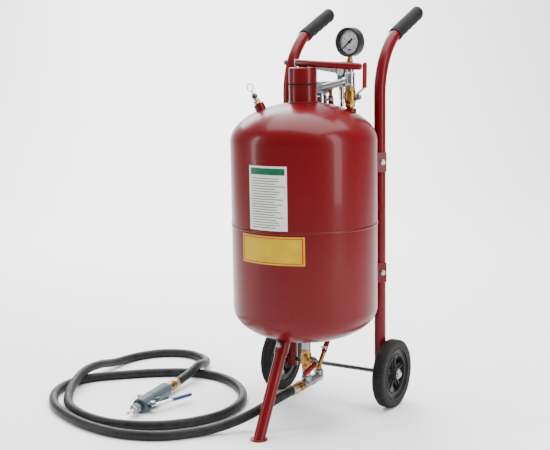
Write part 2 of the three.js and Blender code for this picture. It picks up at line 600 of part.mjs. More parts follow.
// ---------- blast gun, along +X from its rear end, lever on its +Y side ----------
const gun = new THREE.Group();
const gunAt = (x, y = 0, z = 0) => vec(x, y, z);
const addGunPart = (name, solid, material) => addPart(name, solid, material, gun);
const PIVOT = { x: 150, y: 33 };
const LEVER_ANGLE = THREE.MathUtils.degToRad(155);
const pivotAt = (z) => gunAt(PIVOT.x, PIVOT.y, z);
addGunPart('gun_coupling', join(
  hexBar(16, gunAt(-12), gunAt(-GAP)),
  hexBar(27, gunAt(-22), gunAt(-11)),
  rod(15.5, gunAt(-52), gunAt(-21), 16),
  rod(15, gunAt(-72.2), gunAt(-51), 16),
), BRASS);
// Flat piece from an outline of [x, y] points, centred on the gun's own middle plane.
function gunPlate(outline, depth) {
  const shape = new THREE.Shape(outline.map(([x, y]) => new THREE.Vector2(x, y)));
  const geometry = new THREE.ExtrudeGeometry(shape, { depth, bevelEnabled: false });
  geometry.translate(0, 0, -depth / 2);
  return toSolid(geometry);
}
addGunPart('gun_body', cut(
  join(
    turned([
      [0, 0], [19, 0], [22, 3], [22.5, 8], [22.5, 96], [23.6, 98], [23.6, 104], [22.5, 106],
      [22.5, 166], [21.5, 171], [17, 171], [16, 167], [9.6, 167], [9.6, 175], [0, 175],
    ], gunAt(0), vec(1, 0, 0), 44),
    gunPlate([[97, -18], [97, -38], [100, -42], [104, -42], [124, -20]], 18),
    gunPlate([[97, 18], [97, 27], [100, 31], [104, 31], [118, 20]], 18),
    gunPlate([[138, 18], [139, 36], [144, 42], [156, 42], [161, 36], [162, 18]], 16),
    block(vec(156, 2.6, 3), gunAt(88, 0, 22.3)),
    block(vec(156, 2.6, 3), gunAt(88, 0, -21.6)),
  ),
  block(vec(34, 26, 6.6), gunAt(150, 38, 0)),
  rod(3.3, pivotAt(-12), pivotAt(12), 12),
  rod(4, gunAt(104, -33, -12), gunAt(104, -33, 12), 16),
), CAST_GREY);
addGunPart('gun_pivot_screw', cut(
  join(
    rod(3, pivotAt(-12), pivotAt(9), 16),
    turned([[0, 0], [8, 0], [8, 2.6], [6.6, 3.7], [0, 3.9]], pivotAt(8 + GAP), UP, 28),
    hexBar(9, pivotAt(-12), pivotAt(-8 - GAP)),
  ),
  block(vec(20, 1.8, 2), pivotAt(12.2), 0.6),
), CHROME);
const leverSleeve = turned(
  [[0, 0], [6.6, 0], [7, 1.2], [7, 66], [6.2, 71], [4, 73.6], [0, 74.5]], gunAt(72), vec(1, 0, 0), 24,
).scale([1, 1, 0.78]);
const leverBar = gunPlate([[-6, -3], [-3, -5.5], [90, -5.5], [90, 5.5], [-3, 5.5], [-6, 3]], 5.6);
const leverSolid = join(leverBar, leverSleeve)
  .rotate([0, 0, THREE.MathUtils.radToDeg(LEVER_ANGLE)])
  .translate([PIVOT.x, PIVOT.y, 0]);
addGunPart('gun_lever', cut(leverSolid, rod(3.3, pivotAt(-12), pivotAt(12), 12)), ZINC);
addGunPart('gun_nozzle_nut', cut(
  join(
    rod(9, gunAt(175 + GAP), gunAt(186), 24),
    hexBar(27, gunAt(185), gunAt(202)),
    turned([[0, 0], [12.6, 0], [12.6, 3], [10, 7.6], [0, 7.6]], gunAt(201.4), vec(1, 0, 0), 28),
  ),
  rod(4.5 + GAP, gunAt(189), gunAt(212), 20),
), ZINC);
addGunPart('gun_nozzle', pipe(4.5, 2.4, gunAt(189.5), gunAt(237), 24), CERAMIC);
gun.position.copy(GUN_PLACE);
gun.rotation.z = GUN_HEADING;
hoseModel.add(gun);

// ---------- the whole object, its origin under the middle of the standing part ----------
const standing = new THREE.Box3().setFromObject(outerModel, true);
const origin = standing.getCenter(vec(0, 0, 0)).setZ(standing.min.z);
const blaster = new THREE.Group();
blaster.add(outerModel, hoseModel);
blaster.position.copy(origin).negate();
blaster.updateMatrixWorld(true);

export default blaster;
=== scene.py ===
import math
import bpy
from mathutils import Matrix, Vector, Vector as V


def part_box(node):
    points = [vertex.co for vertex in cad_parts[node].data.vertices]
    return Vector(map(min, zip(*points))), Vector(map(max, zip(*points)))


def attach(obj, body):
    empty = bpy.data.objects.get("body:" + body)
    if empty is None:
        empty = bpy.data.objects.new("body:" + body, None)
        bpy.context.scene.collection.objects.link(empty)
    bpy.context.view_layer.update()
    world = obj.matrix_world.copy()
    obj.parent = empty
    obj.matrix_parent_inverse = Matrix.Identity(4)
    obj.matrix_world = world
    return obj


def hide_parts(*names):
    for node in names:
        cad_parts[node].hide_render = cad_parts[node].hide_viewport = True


# Shapes are given in millimetres, with the tank's axis at x = y = 0 and the floor at z = 0.
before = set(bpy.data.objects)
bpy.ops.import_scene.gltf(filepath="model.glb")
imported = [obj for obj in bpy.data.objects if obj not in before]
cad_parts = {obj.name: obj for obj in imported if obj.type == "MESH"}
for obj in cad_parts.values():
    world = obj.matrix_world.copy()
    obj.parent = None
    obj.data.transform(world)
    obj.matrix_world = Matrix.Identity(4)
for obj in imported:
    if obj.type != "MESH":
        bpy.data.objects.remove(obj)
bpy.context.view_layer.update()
AXIS_Y = sum(corner[1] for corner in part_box("tank_weld_band")) / 2
UP = V((0, 0, 1))
FRONT, REAR = V((0, -1, 0)), V((0, 1, 0))
POT = "pot"
GAP = 0.3
FITTING_FLATS, PIPE_THREAD_R = 27, 10.4


def to_row(point):
    """A point in millimetres about the tank's axis, in the row frame's metres."""
    return V((point[0] / 1000, point[1] / 1000 + AXIS_Y, point[2] / 1000))


def add_object(name, data):
    made = bpy.data.objects.new(name, data)
    bpy.context.collection.objects.link(made)
    return made


# --- camera ---
CAMERA_PLACE = V((1.6258, -2.7977 + AXIS_Y, 1.0839))
CAMERA_AZIMUTH, CAMERA_RISE, CAMERA_ROLL = 31.641, 9.326, -0.931
LENS, SENSOR_WIDTH = 76.1, 36


def make_camera():
    """Camera above and to the right of the front, leaning a little to one side."""
    data = bpy.data.cameras.new("camera")
    data.sensor_width = SENSOR_WIDTH
    data.lens = LENS
    camera = add_object("camera", data)
    heading = Matrix.Rotation(math.radians(CAMERA_AZIMUTH), 4, "Z")
    tilt = Matrix.Rotation(math.radians(90 - CAMERA_RISE), 4, "X")
    lean = Matrix.Rotation(math.radians(CAMERA_ROLL), 4, "Z")
    camera.matrix_world = Matrix.Translation(CAMERA_PLACE) @ heading @ tilt @ lean
    bpy.context.scene.camera = camera


make_camera()


# --- materials ---
COAT_ROUGHNESS = 0.06
METAL_SPECULAR, DULL_SPECULAR = 0.5, 0.14
TONE_FROM, TONE_TO = 0.32, 0.68
GLOSS_FROM, GLOSS_TO = 0.3, 0.7
WEAR_FROM, WEAR_TO, WEAR_SHARE = 0.62, 0.74, 0.5
BUMP_DEPTH = 0.0006


def add_node(tree, kind, **values):
    """A shader node with its input values set."""
    new = tree.nodes.new("ShaderNode" + kind)
    for key, value in values.items():
        new.inputs[key].default_value = value
    return new


def material(name, dark, light, rough=(0.3, 0.4), metal=0.0, coat=0.0, scale=30.0,
             bump=0.1, bump_scale=400.0, cells=False, stretch=(1, 1, 1), wear=None):
    """Two tones mixed by noise, uneven gloss, a fine bump, and optional grime or scuffs."""
    made = bpy.data.materials.new(name)
    made.use_nodes = True
    tree = made.node_tree
    link = tree.links.new
    shader = tree.nodes["Principled BSDF"]
    shader.inputs["Metallic"].default_value = metal
    shader.inputs["Coat Weight"].default_value = coat
    shader.inputs["Coat Roughness"].default_value = COAT_ROUGHNESS
    shader.inputs["Specular IOR Level"].default_value = METAL_SPECULAR if metal else DULL_SPECULAR
    place = add_node(tree, "TexCoord")
    mapping = add_node(tree, "Mapping", Scale=stretch)
    link(place.outputs["Object"], mapping.inputs["Vector"])
    broad = add_node(tree, "TexNoise", Scale=scale, Detail=7.0, Roughness=0.6)
    link(mapping.outputs["Vector"], broad.inputs["Vector"])
    ramp = add_node(tree, "ValToRGB")
    for end, position, tone in zip(ramp.color_ramp.elements, (TONE_FROM, TONE_TO), (dark, light)):
        end.position = position
        end.color = (*tone, 1)
    link(broad.outputs["Fac"], ramp.inputs["Fac"])
    colour = ramp.outputs["Color"]
    if wear:
        spots = add_node(tree, "TexNoise", Scale=9.0, Detail=12.0, Roughness=0.75)
        link(place.outputs["Object"], spots.inputs["Vector"])
        edge = add_node(tree, "MapRange", **{
            "From Min": WEAR_FROM, "From Max": WEAR_TO, "To Max": WEAR_SHARE})
        link(spots.outputs["Fac"], edge.inputs["Value"])
        mix = add_node(tree, "MixRGB")
        mix.inputs["Color2"].default_value = (*wear, 1)
        link(edge.outputs["Result"], mix.inputs["Fac"])
        link(colour, mix.inputs["Color1"])
        colour = mix.outputs["Color"]
    link(colour, shader.inputs["Base Color"])
    gloss = add_node(tree, "MapRange", **{
        "From Min": GLOSS_FROM, "From Max": GLOSS_TO, "To Min": rough[0], "To Max": rough[1]})
    link(broad.outputs["Fac"], gloss.inputs["Value"])
    link(gloss.outputs["Result"], shader.inputs["Roughness"])
    if cells:
        fine = add_node(tree, "TexVoronoi", Scale=bump_scale)
        height = fine.outputs["Distance"]
    else:
        fine = add_node(tree, "TexNoise", Scale=bump_scale, Detail=4.0)
        height = fine.outputs["Fac"]
    link(mapping.outputs["Vector"], fine.inputs["Vector"])
    relief = add_node(tree, "Bump", Strength=bump, Distance=BUMP_DEPTH)
    link(height, relief.inputs["Height"])
    link(relief.outputs["Normal"], shader.inputs["Normal"])
    return made


def ink(name, dark, light, rough=(0.3, 0.4)):
    return material(name, dark, light, rough, bump=0.03)


def glass_material():
    """Clear lens, with next to no bending of what is behind it."""
    made = material("gauge_glass", (0.9, 0.93, 0.95), (1, 1, 1), (0.02, 0.05), bump=0.01)
    shader = made.node_tree.nodes["Principled BSDF"]
    shader.inputs["Transmission Weight"].default_value = 1.0
    shader.inputs["IOR"].default_value = 1.05
    return made


RED = material("red_paint", (0.100, 0.0013, 0.0030), (0.116, 0.0017, 0.0036), (0.285, 0.315),
               coat=0.1, scale=2.4, bump=0.03, bump_scale=260)
RED_RUBBER = material("red_rubber", (0.12, 0.007, 0.006), (0.18, 0.011, 0.009), (0.42, 0.58), scale=60)
VINYL = material("red_vinyl", (0.13, 0.0025, 0.004), (0.17, 0.004, 0.006), (0.3, 0.42), bump=0.15)
RUBBER = material("black_rubber", (0.006, 0.006, 0.0065), (0.013, 0.013, 0.0135), (0.6, 0.75),
                  scale=50, bump=0.25)
HOSE = material("hose_rubber", (0.010, 0.010, 0.011), (0.022, 0.022, 0.023), (0.36, 0.52), scale=45,
                bump=0.35, bump_scale=700)
TYRE = material("tyre_rubber", (0.009, 0.009, 0.009), (0.024, 0.023, 0.022), (0.6, 0.8), scale=35,
                bump=0.3, wear=(0.05, 0.047, 0.042))
PLASTIC = material("black_plastic", (0.010, 0.010, 0.011), (0.02, 0.02, 0.021), (0.32, 0.45), bump=0.2)
BRASS = material("brass", (0.24, 0.115, 0.03), (0.38, 0.21, 0.06), (0.22, 0.4), metal=1, scale=70,
                 bump=0.12, wear=(0.30, 0.19, 0.08))
YELLOW_ZINC = material("yellow_zinc", (0.36, 0.30, 0.18), (0.52, 0.45, 0.30), (0.28, 0.42), metal=1,
                       scale=80)
ZINC = material("zinc", (0.19, 0.195, 0.20), (0.33, 0.335, 0.345), (0.26, 0.42), metal=1, scale=90,
                bump=0.15, cells=True, bump_scale=260)
CHROME = material("chrome", (0.30, 0.31, 0.32), (0.40, 0.41, 0.42), (0.1, 0.2), metal=1, scale=40,
                  bump=0.03)
STEEL = material("bright_steel", (0.06, 0.06, 0.063), (0.12, 0.12, 0.123), (0.2, 0.32), metal=1,
                 scale=60, bump=0.04, stretch=(1, 12, 12))
CAST = material("cast_blue_grey", (0.05, 0.075, 0.09), (0.08, 0.11, 0.13), (0.34, 0.5), metal=0.3,
                scale=80, bump=0.5, cells=True, bump_scale=420)
CERAMIC = material("ceramic", (0.72, 0.70, 0.66), (0.84, 0.82, 0.78), (0.35, 0.5), scale=120)
WHITE = ink("label_white", (0.56, 0.56, 0.53), (0.63, 0.63, 0.60))
GREEN = ink("label_green", (0.006, 0.085, 0.04), (0.010, 0.11, 0.055))
GREY_INK = ink("label_grey", (0.13, 0.135, 0.13), (0.2, 0.205, 0.2), (0.35, 0.45))
YELLOW = ink("label_yellow", (0.42, 0.265, 0.005), (0.50, 0.32, 0.008))
RED_INK = ink("label_red", (0.36, 0.01, 0.012), (0.43, 0.016, 0.018))
BLUE_INK = ink("dial_blue", (0.03, 0.10, 0.36), (0.05, 0.14, 0.44), (0.35, 0.45))
GLASS = glass_material()


# --- shapes: each gives (points, faces) ---
def basis(axis):
    """Two directions square to an axis."""
    axis = V(axis).normalized()
    side = V((1, 0, 0)) if abs(axis.x) < 0.9 else V((0, 1, 0))
    first = (side - axis * side.dot(axis)).normalized()
    return first, axis.cross(first)


def rings_to_mesh(rings, close_ends=True, wrap=False):
    """Joins rings of equal count into a tube. A ring of one point is a pole."""
    points, starts = [], []
    for ring in rings:
        starts.append((len(points), len(ring)))
        points.extend(ring)
    faces = []
    pairs = list(zip(starts, starts[1:]))
    if wrap:
        pairs.append((starts[-1], starts[0]))
    for (a, count_a), (b, count_b) in pairs:
        count = max(count_a, count_b)
        for i in range(count):
            j = (i + 1) % count
            if count_a == 1:
                faces.append((a, b + i, b + j))
            elif count_b == 1:
                faces.append((a + i, b, a + j))
            else:
                faces.append((a + i, b + i, b + j, a + j))
    if close_ends and not wrap:
        for (start, count), flip in ((starts[0], False), (starts[-1], True)):
            if count > 1:
                loop = tuple(range(start, start + count))
                faces.append(loop[::-1] if flip else loop)
    return points, faces


def lathe(profile, base=V((0, 0, 0)), axis=UP, sides=48, relief=None):
    """Turned shape from (radius, height) points. relief(radius, height, angle) gives a new radius."""
    first, second = basis(axis)
    along = V(axis).normalized()
    wrap = tuple(profile[0]) == tuple(profile[-1])
    rings = []
    for radius, height in (profile[:-1] if wrap else profile):
        if radius < 1e-6:
            rings.append([base + along * height])
            continue
        ring = []
        for i in range(sides):
            angle = 2 * math.pi * i / sides
            r = relief(radius, height, angle) if relief else radius
            way = first * math.cos(angle) + second * math.sin(angle)
            ring.append(base + along * height + way * r)
        rings.append(ring)
    return rings_to_mesh(rings, wrap=wrap)


def closed(profile):
    """A profile that ends where it starts, for a ring."""
    return [*profile, profile[0]]


def rod(radius, start, end, sides=32, cut=0.0):
    """Round bar, with a chamfer of the given size at both ends."""
    length = (end - start).length
    profile = [(0, 0), (radius, 0), (radius, length), (0, length)]
    if cut:
        profile = [(0, 0), (radius - cut, 0), (radius, cut), (radius, length - cut),
                   (radius - cut, length), (0, length)]
    return lathe(profile, start, end - start, sides)


def pipe(outer, inner, start, end, sides=48):
    length = (end - start).length
    profile = closed([(inner, 0), (outer, 0), (outer, length), (inner, length)])
    return lathe(profile, start, end - start, sides)


def hexagon(flats, start, end):
    """Hexagon bar, its corners chamfered at both ends as a turned nut's are."""
    corner = flats / math.sqrt(3)
    length = (end - start).length
    cut = min(flats * 0.07, length * 0.3)
    lip = corner * 0.93
    profile = [(0, 0), (lip, 0), (corner, cut), (corner, length - cut), (lip, length), (0, length)]
    return lathe(profile, start, end - start, 6)


def thread(radius, start, end, pitch=1.8, depth=0.8, sides=32):
    """Screw thread drawn as a stack of grooves."""
    length = (end - start).length
    turns = max(2, round(length / pitch))
    profile = [(0, 0)]
    for i in range(turns):
        profile += [(radius - depth, length * i / turns), (radius, length * (i + 0.5) / turns)]
    profile += [(radius - depth, length), (0, length)]
    return lathe(profile, start, end - start, sides)


def ball(radius, centre, sides=32):
    steps = sides // 2
    profile = [(radius * math.sin(math.pi * i / steps), -radius * math.cos(math.pi * i / steps))
               for i in range(steps + 1)]
    profile[0], profile[-1] = (0, -radius), (0, radius)
    return lathe(profile, centre, UP, sides)


def block(size, centre, yaw=0.0):
    half = V(size) / 2
    turn = Matrix.Rotation(yaw, 3, "Z")
    points = [V(centre) + turn @ V((sx * half.x, sy * half.y, sz * half.z))
              for sx in (-1, 1) for sy in (-1, 1) for sz in (-1, 1)]
    faces = [(0, 1, 3, 2), (4, 6, 7, 5), (0, 4, 5, 1), (2, 3, 7, 6), (0, 2, 6, 4), (1, 5, 7, 3)]
    return points, faces


def extrude(outline, depth, place):
    """Flat outline of (u, v) points given depth. place(u, v, w) puts a point where it belongs."""
    count = len(outline)
    points = [place(u, v, w) for w in (-depth / 2, depth / 2) for u, v in outline]
    faces = [tuple(range(count))[::-1], tuple(range(count, 2 * count))]
    faces += [(i, (i + 1) % count, count + (i + 1) % count, count + i) for i in range(count)]
    return points, faces


def sweep(line, radius, sides=32, start=V((1, 0, 0)), close_ends=True):
    """Tube along a line. radius is a number or radius(share of the length, angle)."""
    lengths = [0.0]
    for a, b in zip(line, line[1:]):
        lengths.append(lengths[-1] + (b - a).length)
    rings, normal = [], start
    for i, point in enumerate(line):
        ahead = (line[min(i + 1, len(line) - 1)] - line[max(i - 1, 0)]).normalized()
        normal = (normal - ahead * normal.dot(ahead)).normalized()
        across = ahead.cross(normal)
        share = lengths[i] / lengths[-1]
        ring = []
        for k in range(sides):
            angle = 2 * math.pi * k / sides
            r = radius(share, angle) if callable(radius) else radius
            ring.append(point + (normal * math.cos(angle) + across * math.sin(angle)) * r)
        rings.append(ring)
    return rings_to_mesh(rings, close_ends)


def torus(big, small, centre, axis, sides=40, thick=14):
    angles = [2 * math.pi * i / thick for i in range(thick)]
    profile = closed([(big + small * math.cos(a), small * math.sin(a)) for a in angles])
    return lathe(profile, centre, axis, sides)


def smooth_line(knots, per_span):
    """Centripetal Catmull-Rom curve through the knots."""
    knots = [V(k) for k in knots]
    padded = [knots[0] * 2 - knots[1], *knots, knots[-1] * 2 - knots[-2]]
    line = []
    for p0, p1, p2, p3 in zip(padded, padded[1:], padded[2:], padded[3:]):
        t0 = 0.0
        t1 = math.sqrt((p1 - p0).length)
        t2 = t1 + math.sqrt((p2 - p1).length)
        t3 = t2 + math.sqrt((p3 - p2).length)
        for i in range(per_span):
            t = t1 + (t2 - t1) * i / per_span
            first = p0.lerp(p1, (t - t0) / (t1 - t0))
            middle = p1.lerp(p2, (t - t1) / (t2 - t1))
            last = p2.lerp(p3, (t - t2) / (t3 - t2))
            early = first.lerp(middle, (t - t0) / (t2 - t0))
            late = middle.lerp(last, (t - t1) / (t3 - t1))
            line.append(early.lerp(late, (t - t1) / (t2 - t1)))
    return [*line, knots[-1]]


def piece(name, parts, body=POT, nodes=(), bevel=0.5, sharp=38):
    """One object from [(material, shape), ...]. bevel is in millimetres."""
    points, faces, picks, finishes = [], [], [], []
    for finish, (shape_points, shape_faces) in parts:
        if finish not in finishes:
            finishes.append(finish)
        start = len(points)
        points += [to_row(p) for p in shape_points]
        faces += [tuple(start + i for i in face) for face in shape_faces]
        picks += [finishes.index(finish)] * len(shape_faces)
    mesh = bpy.data.meshes.new(name)
    mesh.from_pydata(points, [], faces)
    for finish in finishes:
        mesh.materials.append(finish)
    mesh.polygons.foreach_set("material_index", picks)
    mesh.polygons.foreach_set("use_smooth", [True] * len(faces))
    mesh.set_sharp_from_angle(angle=math.radians(sharp))
    made = add_object(name, mesh)
    if bevel:
        rounding = made.modifiers.new("edges", "BEVEL")
        rounding.width = bevel / 1000
        rounding.segments = 2
        rounding.limit_method = "ANGLE"
        rounding.angle_limit = math.radians(sharp)
        rounding.harden_normals = True
    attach(made, body)
    if nodes:
        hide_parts(*nodes)
    return made


# --- hoses ---
HOSE_R, AIR_HOSE_R = 13.5, 8
BLAST_HOSE_ROUTE = [
    (0, -90, 90), (-2, -121, 88.5), (-13, -157, 80), (-38, -195, 61), (-80, -236, 36),
    (-131, -283, 17), (-172, -335, 13.7), (-229, -392, 13.7), (-333, -431, 13.7), (-448, -426, 13.7),
    (-563, -390, 13.7), (-670, -328, 13.7), (-746, -242, 13.7), (-775, -150, 13.7), (-755, -65, 13.7),
    (-685, 12, 13.7), (-600, 85, 13.7), (-510, 133, 13.7), (-415, 143, 13.7), (-325, 107, 13.7),
    (-243, 32, 13.7), (-193, -68, 13.7), (-186, -165, 13.7), (-222, -258, 13.7), (-300, -336, 13.7),
    (-425, -377, 13.7), (-550, -354, 13.7), (-645, -296, 14.5), (-712, -208, 25), (-757, -95, 42),
    (-774, 0, 38), (-786, 95, 20), (-785, 185, 13.7), (-735, 275, 13.7), (-645, 312, 13.7),
    (-555, 278, 15), (-500, 205, 29), (-478, 135, 42), (-468, 60, 31), (-465, 0, 23),
]
AIR_HOSE_ROUTE = [
    (0, 104, 157), (0, 114, 170), (-1, 135, 192), (-3, 172, 224), (-5, 205, 262),
    (-7, 219, 310), (-8, 218, 380), (-8, 217, 580), (-8, 217, 760), (-8, 214, 800),
    (-8, 200, 838), (-8, 182, 868), (-8, 173, 890), (-8, 172, 904.5),
]


def hose_line(route, radius, per_span):
    """A route made smooth and kept from sinking into the floor."""
    line = smooth_line(route, per_span)
    return [V((p.x, p.y, max(p.z, radius + 0.2))) for p in line]


def line_length(line):
    """In metres."""
    return sum((b - a).length for a, b in zip(line, line[1:])) / 1000


blast_line = hose_line(BLAST_HOSE_ROUTE, HOSE_R, 14)
blast_hose = piece("hose_black", [(HOSE, sweep(blast_line, HOSE_R, 28))],
                   nodes=["blast_hose"], bevel=0)
air_line = hose_line(AIR_HOSE_ROUTE, AIR_HOSE_R, 10)
air_hose = piece("hose_red", [(RED_RUBBER, sweep(air_line, AIR_HOSE_R, 24))],
                 nodes=["air_hose"], bevel=0)

# --- tank ---
TANK_R, WALL = 205, 3.5
SEAM_Z, LOW_Z, HIGH_Z = 560, 321.5, 789.5
TOP_H, BOTTOM_H = 108, 99
NECK_R, NECK_BORE = 39, 34
OUTLET_BORE = 7.5
NECK_TOP, CAP_TOP = 944, 992
GASKET_H = 4.4
TUBE_X, TUBE_Y, TUBE_R = 150, 173.5, 16.6
STACK_X, STACK_Y = 118, 55
SIDES = {"left": -1, "right": 1}
BRACKETS = {"upper": 720, "lower": 400}
BRACKET_HEIGHT, BRACKET_CHEEK, BRACKET_WELD_R = 56, 18.5, 1.6
SEAM_HALF = 4
NECK_RIPPLES, SEAM_RIPPLES, RIPPLE_SHARE = 70, 260, 0.12


def head(radius, height, edge_z, hole, steps=28):
    """Half an ellipse in section, from the tank's side in to the edge of a hole."""
    start = math.acos(hole / radius)
    return [(radius * math.cos(start * i / steps), edge_z + height * math.sin(start * i / steps))
            for i in range(steps + 1)]


def shell(seam, edge, height, hole):
    """One half of the tank: a straight side from the seam and a dished end."""
    sign = 1 if height > 0 else -1
    inner = head(TANK_R - WALL, height - sign * WALL, edge, hole)[::-1]
    outer = head(TANK_R, height, edge, hole)
    return lathe(closed([(TANK_R - WALL, seam), (TANK_R, seam), *outer, *inner]), sides=160)


def neck_weld(z, size):
    """A rippled bead round the foot of the neck."""
    def ripple(r, _height, angle):
        return r + (size * RIPPLE_SHARE * math.sin(NECK_RIPPLES * angle) if r > NECK_R else 0)
    profile = closed([(NECK_R + size * math.cos(a), z + size * math.sin(a))
                      for a in (math.pi * (i / 4 - 1) for i in range(8))])
    return lathe(profile, sides=180, relief=ripple)


def on_tube(side, z):
    return V((side * TUBE_X, TUBE_Y, z))


def radial(side):
    """From the tank's axis towards a frame tube."""
    return on_tube(side, 0).normalized()


def tangent(side):
    """Level, and square to radial(side)."""
    return radial(side).cross(UP) * side


def tube_bracket(side, z):
    """Web on the tank, two cheeks that take the frame tube between them, and their weld lines."""
    outward, across = radial(side), tangent(side)
    yaw = math.atan2(outward.y, outward.x)
    parts = [(RED, block((12, 2 * BRACKET_CHEEK, BRACKET_HEIGHT), outward * 206 + UP * z, yaw))]
    for offset in (-BRACKET_CHEEK, BRACKET_CHEEK):
        cheek = outward * 220 + across * offset + UP * z
        bead = outward * 203.5 + across * offset * 1.13
        bead_half = BRACKET_HEIGHT / 2 - 1
        parts.append((RED, block((44, 3, BRACKET_HEIGHT), cheek, yaw)))
        low, high = bead + UP * (z - bead_half), bead + UP * (z + bead_half)
        parts.append((RED, rod(BRACKET_WELD_R, low, high, 10)))
    return parts


SAFETY_BASE = V((-99, -57, 872))
SAFETY_AXIS = V((-0.38, -0.21, 0.9)).normalized()
LEG_TOP, FOOT = V((0, -122, 243)), V((0, -260, 0))
LEG_AXIS = (FOOT - LEG_TOP).normalized()
LEG_BOLT_AXIS = V((0, LEG_AXIS.z, -LEG_AXIS.y))


def along_safety(distance):
    return SAFETY_BASE + SAFETY_AXIS * distance


def along_leg(distance):
    return LEG_TOP + LEG_AXIS * distance


def on_stack(z):
    return V((STACK_X, STACK_Y, z))


piece("tank_top", [
    (RED, shell(SEAM_Z + SEAM_HALF, HIGH_Z, TOP_H, NECK_BORE)),
    (RED, pipe(NECK_R, NECK_BORE, UP * 885, UP * NECK_TOP, 96)),
    (RED, neck_weld(896, 3.2)),
    (RED, pipe(15, 5, along_safety(-10), along_safety(24))),
    (RED, pipe(17, 7.5, on_stack(856), on_stack(878))),
    *tube_bracket(-1, BRACKETS["upper"]),
    *tube_bracket(1, BRACKETS["upper"]),
], nodes=["tank_upper_shell"])
piece("tank_bottom", [
    (RED, shell(SEAM_Z - SEAM_HALF, LOW_Z, -BOTTOM_H, OUTLET_BORE)),
    (RED, pipe(19, 16.3, along_leg(-16), along_leg(40))),
    *tube_bracket(-1, BRACKETS["lower"]),
    *tube_bracket(1, BRACKETS["lower"]),
], nodes=["tank_lower_shell"])


def seam_ripple(r, _height, angle):
    return r + (0.25 * math.sin(SEAM_RIPPLES * angle) if r > TANK_R else 0)


SEAM_INNER, SEAM_EDGE = TANK_R - WALL, SEAM_HALF - 0.1
seam_profile = closed([(SEAM_INNER, -SEAM_EDGE), (205.2, -SEAM_EDGE), (206.5, -2), (206.9, 0), (206.5, 2),
                       (205.2, SEAM_EDGE), (SEAM_INNER, SEAM_EDGE)])
piece("tank_seam", [(RED, lathe(seam_profile, UP * SEAM_Z, UP, 2 * SEAM_RIPPLES, seam_ripple))],
      nodes=["tank_weld_band"], bevel=0, sharp=60)

# --- labels, bent round the tank ---
LABEL_LIFT = 0.35
HEADER_BAND, HEADER_MARGIN = (0.86, 0.965), 0.05
TEXT_BAND, TEXT_LEFT, TEXT_RIGHT = (0.04, 0.82), 0.08, 0.95
TEXT_BARS, BAR_SHARE, RAGGED_BY = 25, 0.4, 0.24


def label(name, middle, width, low, high, cells, columns=48, rows=60):
    """Thin sheet on the tank. cells(u, v) gives the finish at shares of its width and height."""
    radius = TANK_R + LABEL_LIFT
    start, span = math.radians(middle) - width / radius / 2, width / radius
    points = []
    for j in range(rows + 1):
        for i in range(columns + 1):
            angle = start + span * i / columns
            points.append(V((radius * math.sin(angle), -radius * math.cos(angle),
                             low + (high - low) * j / rows)))
    groups = {}
    for j in range(rows):
        for i in range(columns):
            a = j * (columns + 1) + i
            finish = cells((i + 0.5) / columns, (j + 0.5) / rows)
            groups.setdefault(finish, []).append((a, a + 1, a + columns + 2, a + columns + 1))
    piece(name, [(finish, (points, faces)) for finish, faces in groups.items()], bevel=0)


def text_label(u, v):
    """White sheet, green header, and grey bars where lines of text would be."""
    if HEADER_BAND[0] < v < HEADER_BAND[1] and HEADER_MARGIN < u < 1 - HEADER_MARGIN:
        return GREEN
    inside = TEXT_LEFT < u and TEXT_BAND[0] < v < TEXT_BAND[1]
    ragged = TEXT_RIGHT - RAGGED_BY * abs(math.sin(17 * math.floor(v * TEXT_BARS)))
    on_bar = (v * TEXT_BARS) % 1 < BAR_SHARE
    return GREY_INK if inside and on_bar and u < ragged else WHITE


def near_edge(u, v, side_margin, end_margin):
    return min(u, 1 - u) < side_margin or min(v, 1 - v) < end_margin


def plain_label(u, v):
    """Yellow sheet with a thin red frame a little inside its edge."""
    framed = near_edge(u, v, 0.045, 0.09) and not near_edge(u, v, 0.022, 0.045)
    return RED_INK if framed else YELLOW


label("label_upper", 1.1, 117, 566.5, 739.5, text_label, 40, 125)
label("label_lower", 2.7, 197, 474, 551.5, plain_label)

# --- closure ---
piece("gasket", [(RUBBER, pipe(38, NECK_BORE, UP * (NECK_TOP + GAP), UP * (NECK_TOP + GASKET_H), 96))],
      nodes=["cap_gasket"], bevel=0.4)
CAP_BASE = NECK_TOP + GASKET_H + GAP
PLUG_R, PLUG_DEPTH = 33.4, 20
BAR_DROP = math.radians(3)
BAR_AXIS = V((math.cos(BAR_DROP), 0, -math.sin(BAR_DROP)))
BAR_R, BAR_LIFT, BAR_REAR = 9.5, 2, 24
BAR_CENTRE = UP * (CAP_TOP + BAR_LIFT + BAR_R)
piece("cap", [
    (RED, lathe([(0, CAP_BASE - PLUG_DEPTH), (PLUG_R, CAP_BASE - PLUG_DEPTH), (PLUG_R, CAP_BASE),
                 (NECK_R, CAP_BASE), (NECK_R, CAP_TOP - 3),
                 (NECK_R - 0.9, CAP_TOP - 0.9), (NECK_R - 3, CAP_TOP),
                 (13, CAP_TOP), (12, CAP_TOP + 3), (0, CAP_TOP + 3)], sides=96)),
], body="fill_cap", nodes=["fill_cap"])
piece("cap_bar", [
    (RED, lathe([(0, 0), (5, 0.6), (8, 3), (BAR_R, 7), (BAR_R, 200), (8, 204), (5, 206.4), (0, 207)],
                BAR_CENTRE - BAR_AXIS * BAR_REAR, BAR_AXIS, 40)),
], body="fill_cap", nodes=["cap_lever_bar"], bevel=0)

# --- trolley ---
BEND_Z, BEND_R, BEND_ANGLE = 905, 200, math.radians(68)
HANDLE_STRAIGHT, GRIP_ANGLE = 134, math.radians(59)
AXLE_Z, AXLE_R, AXLE_HALF, WHEEL_X = 100, 6.25, 210, 188


def bend_point(side, angle):
    back = TUBE_Y + BEND_R * (1 - math.cos(angle))
    return V((side * TUBE_X, back, BEND_Z + BEND_R * math.sin(angle)))


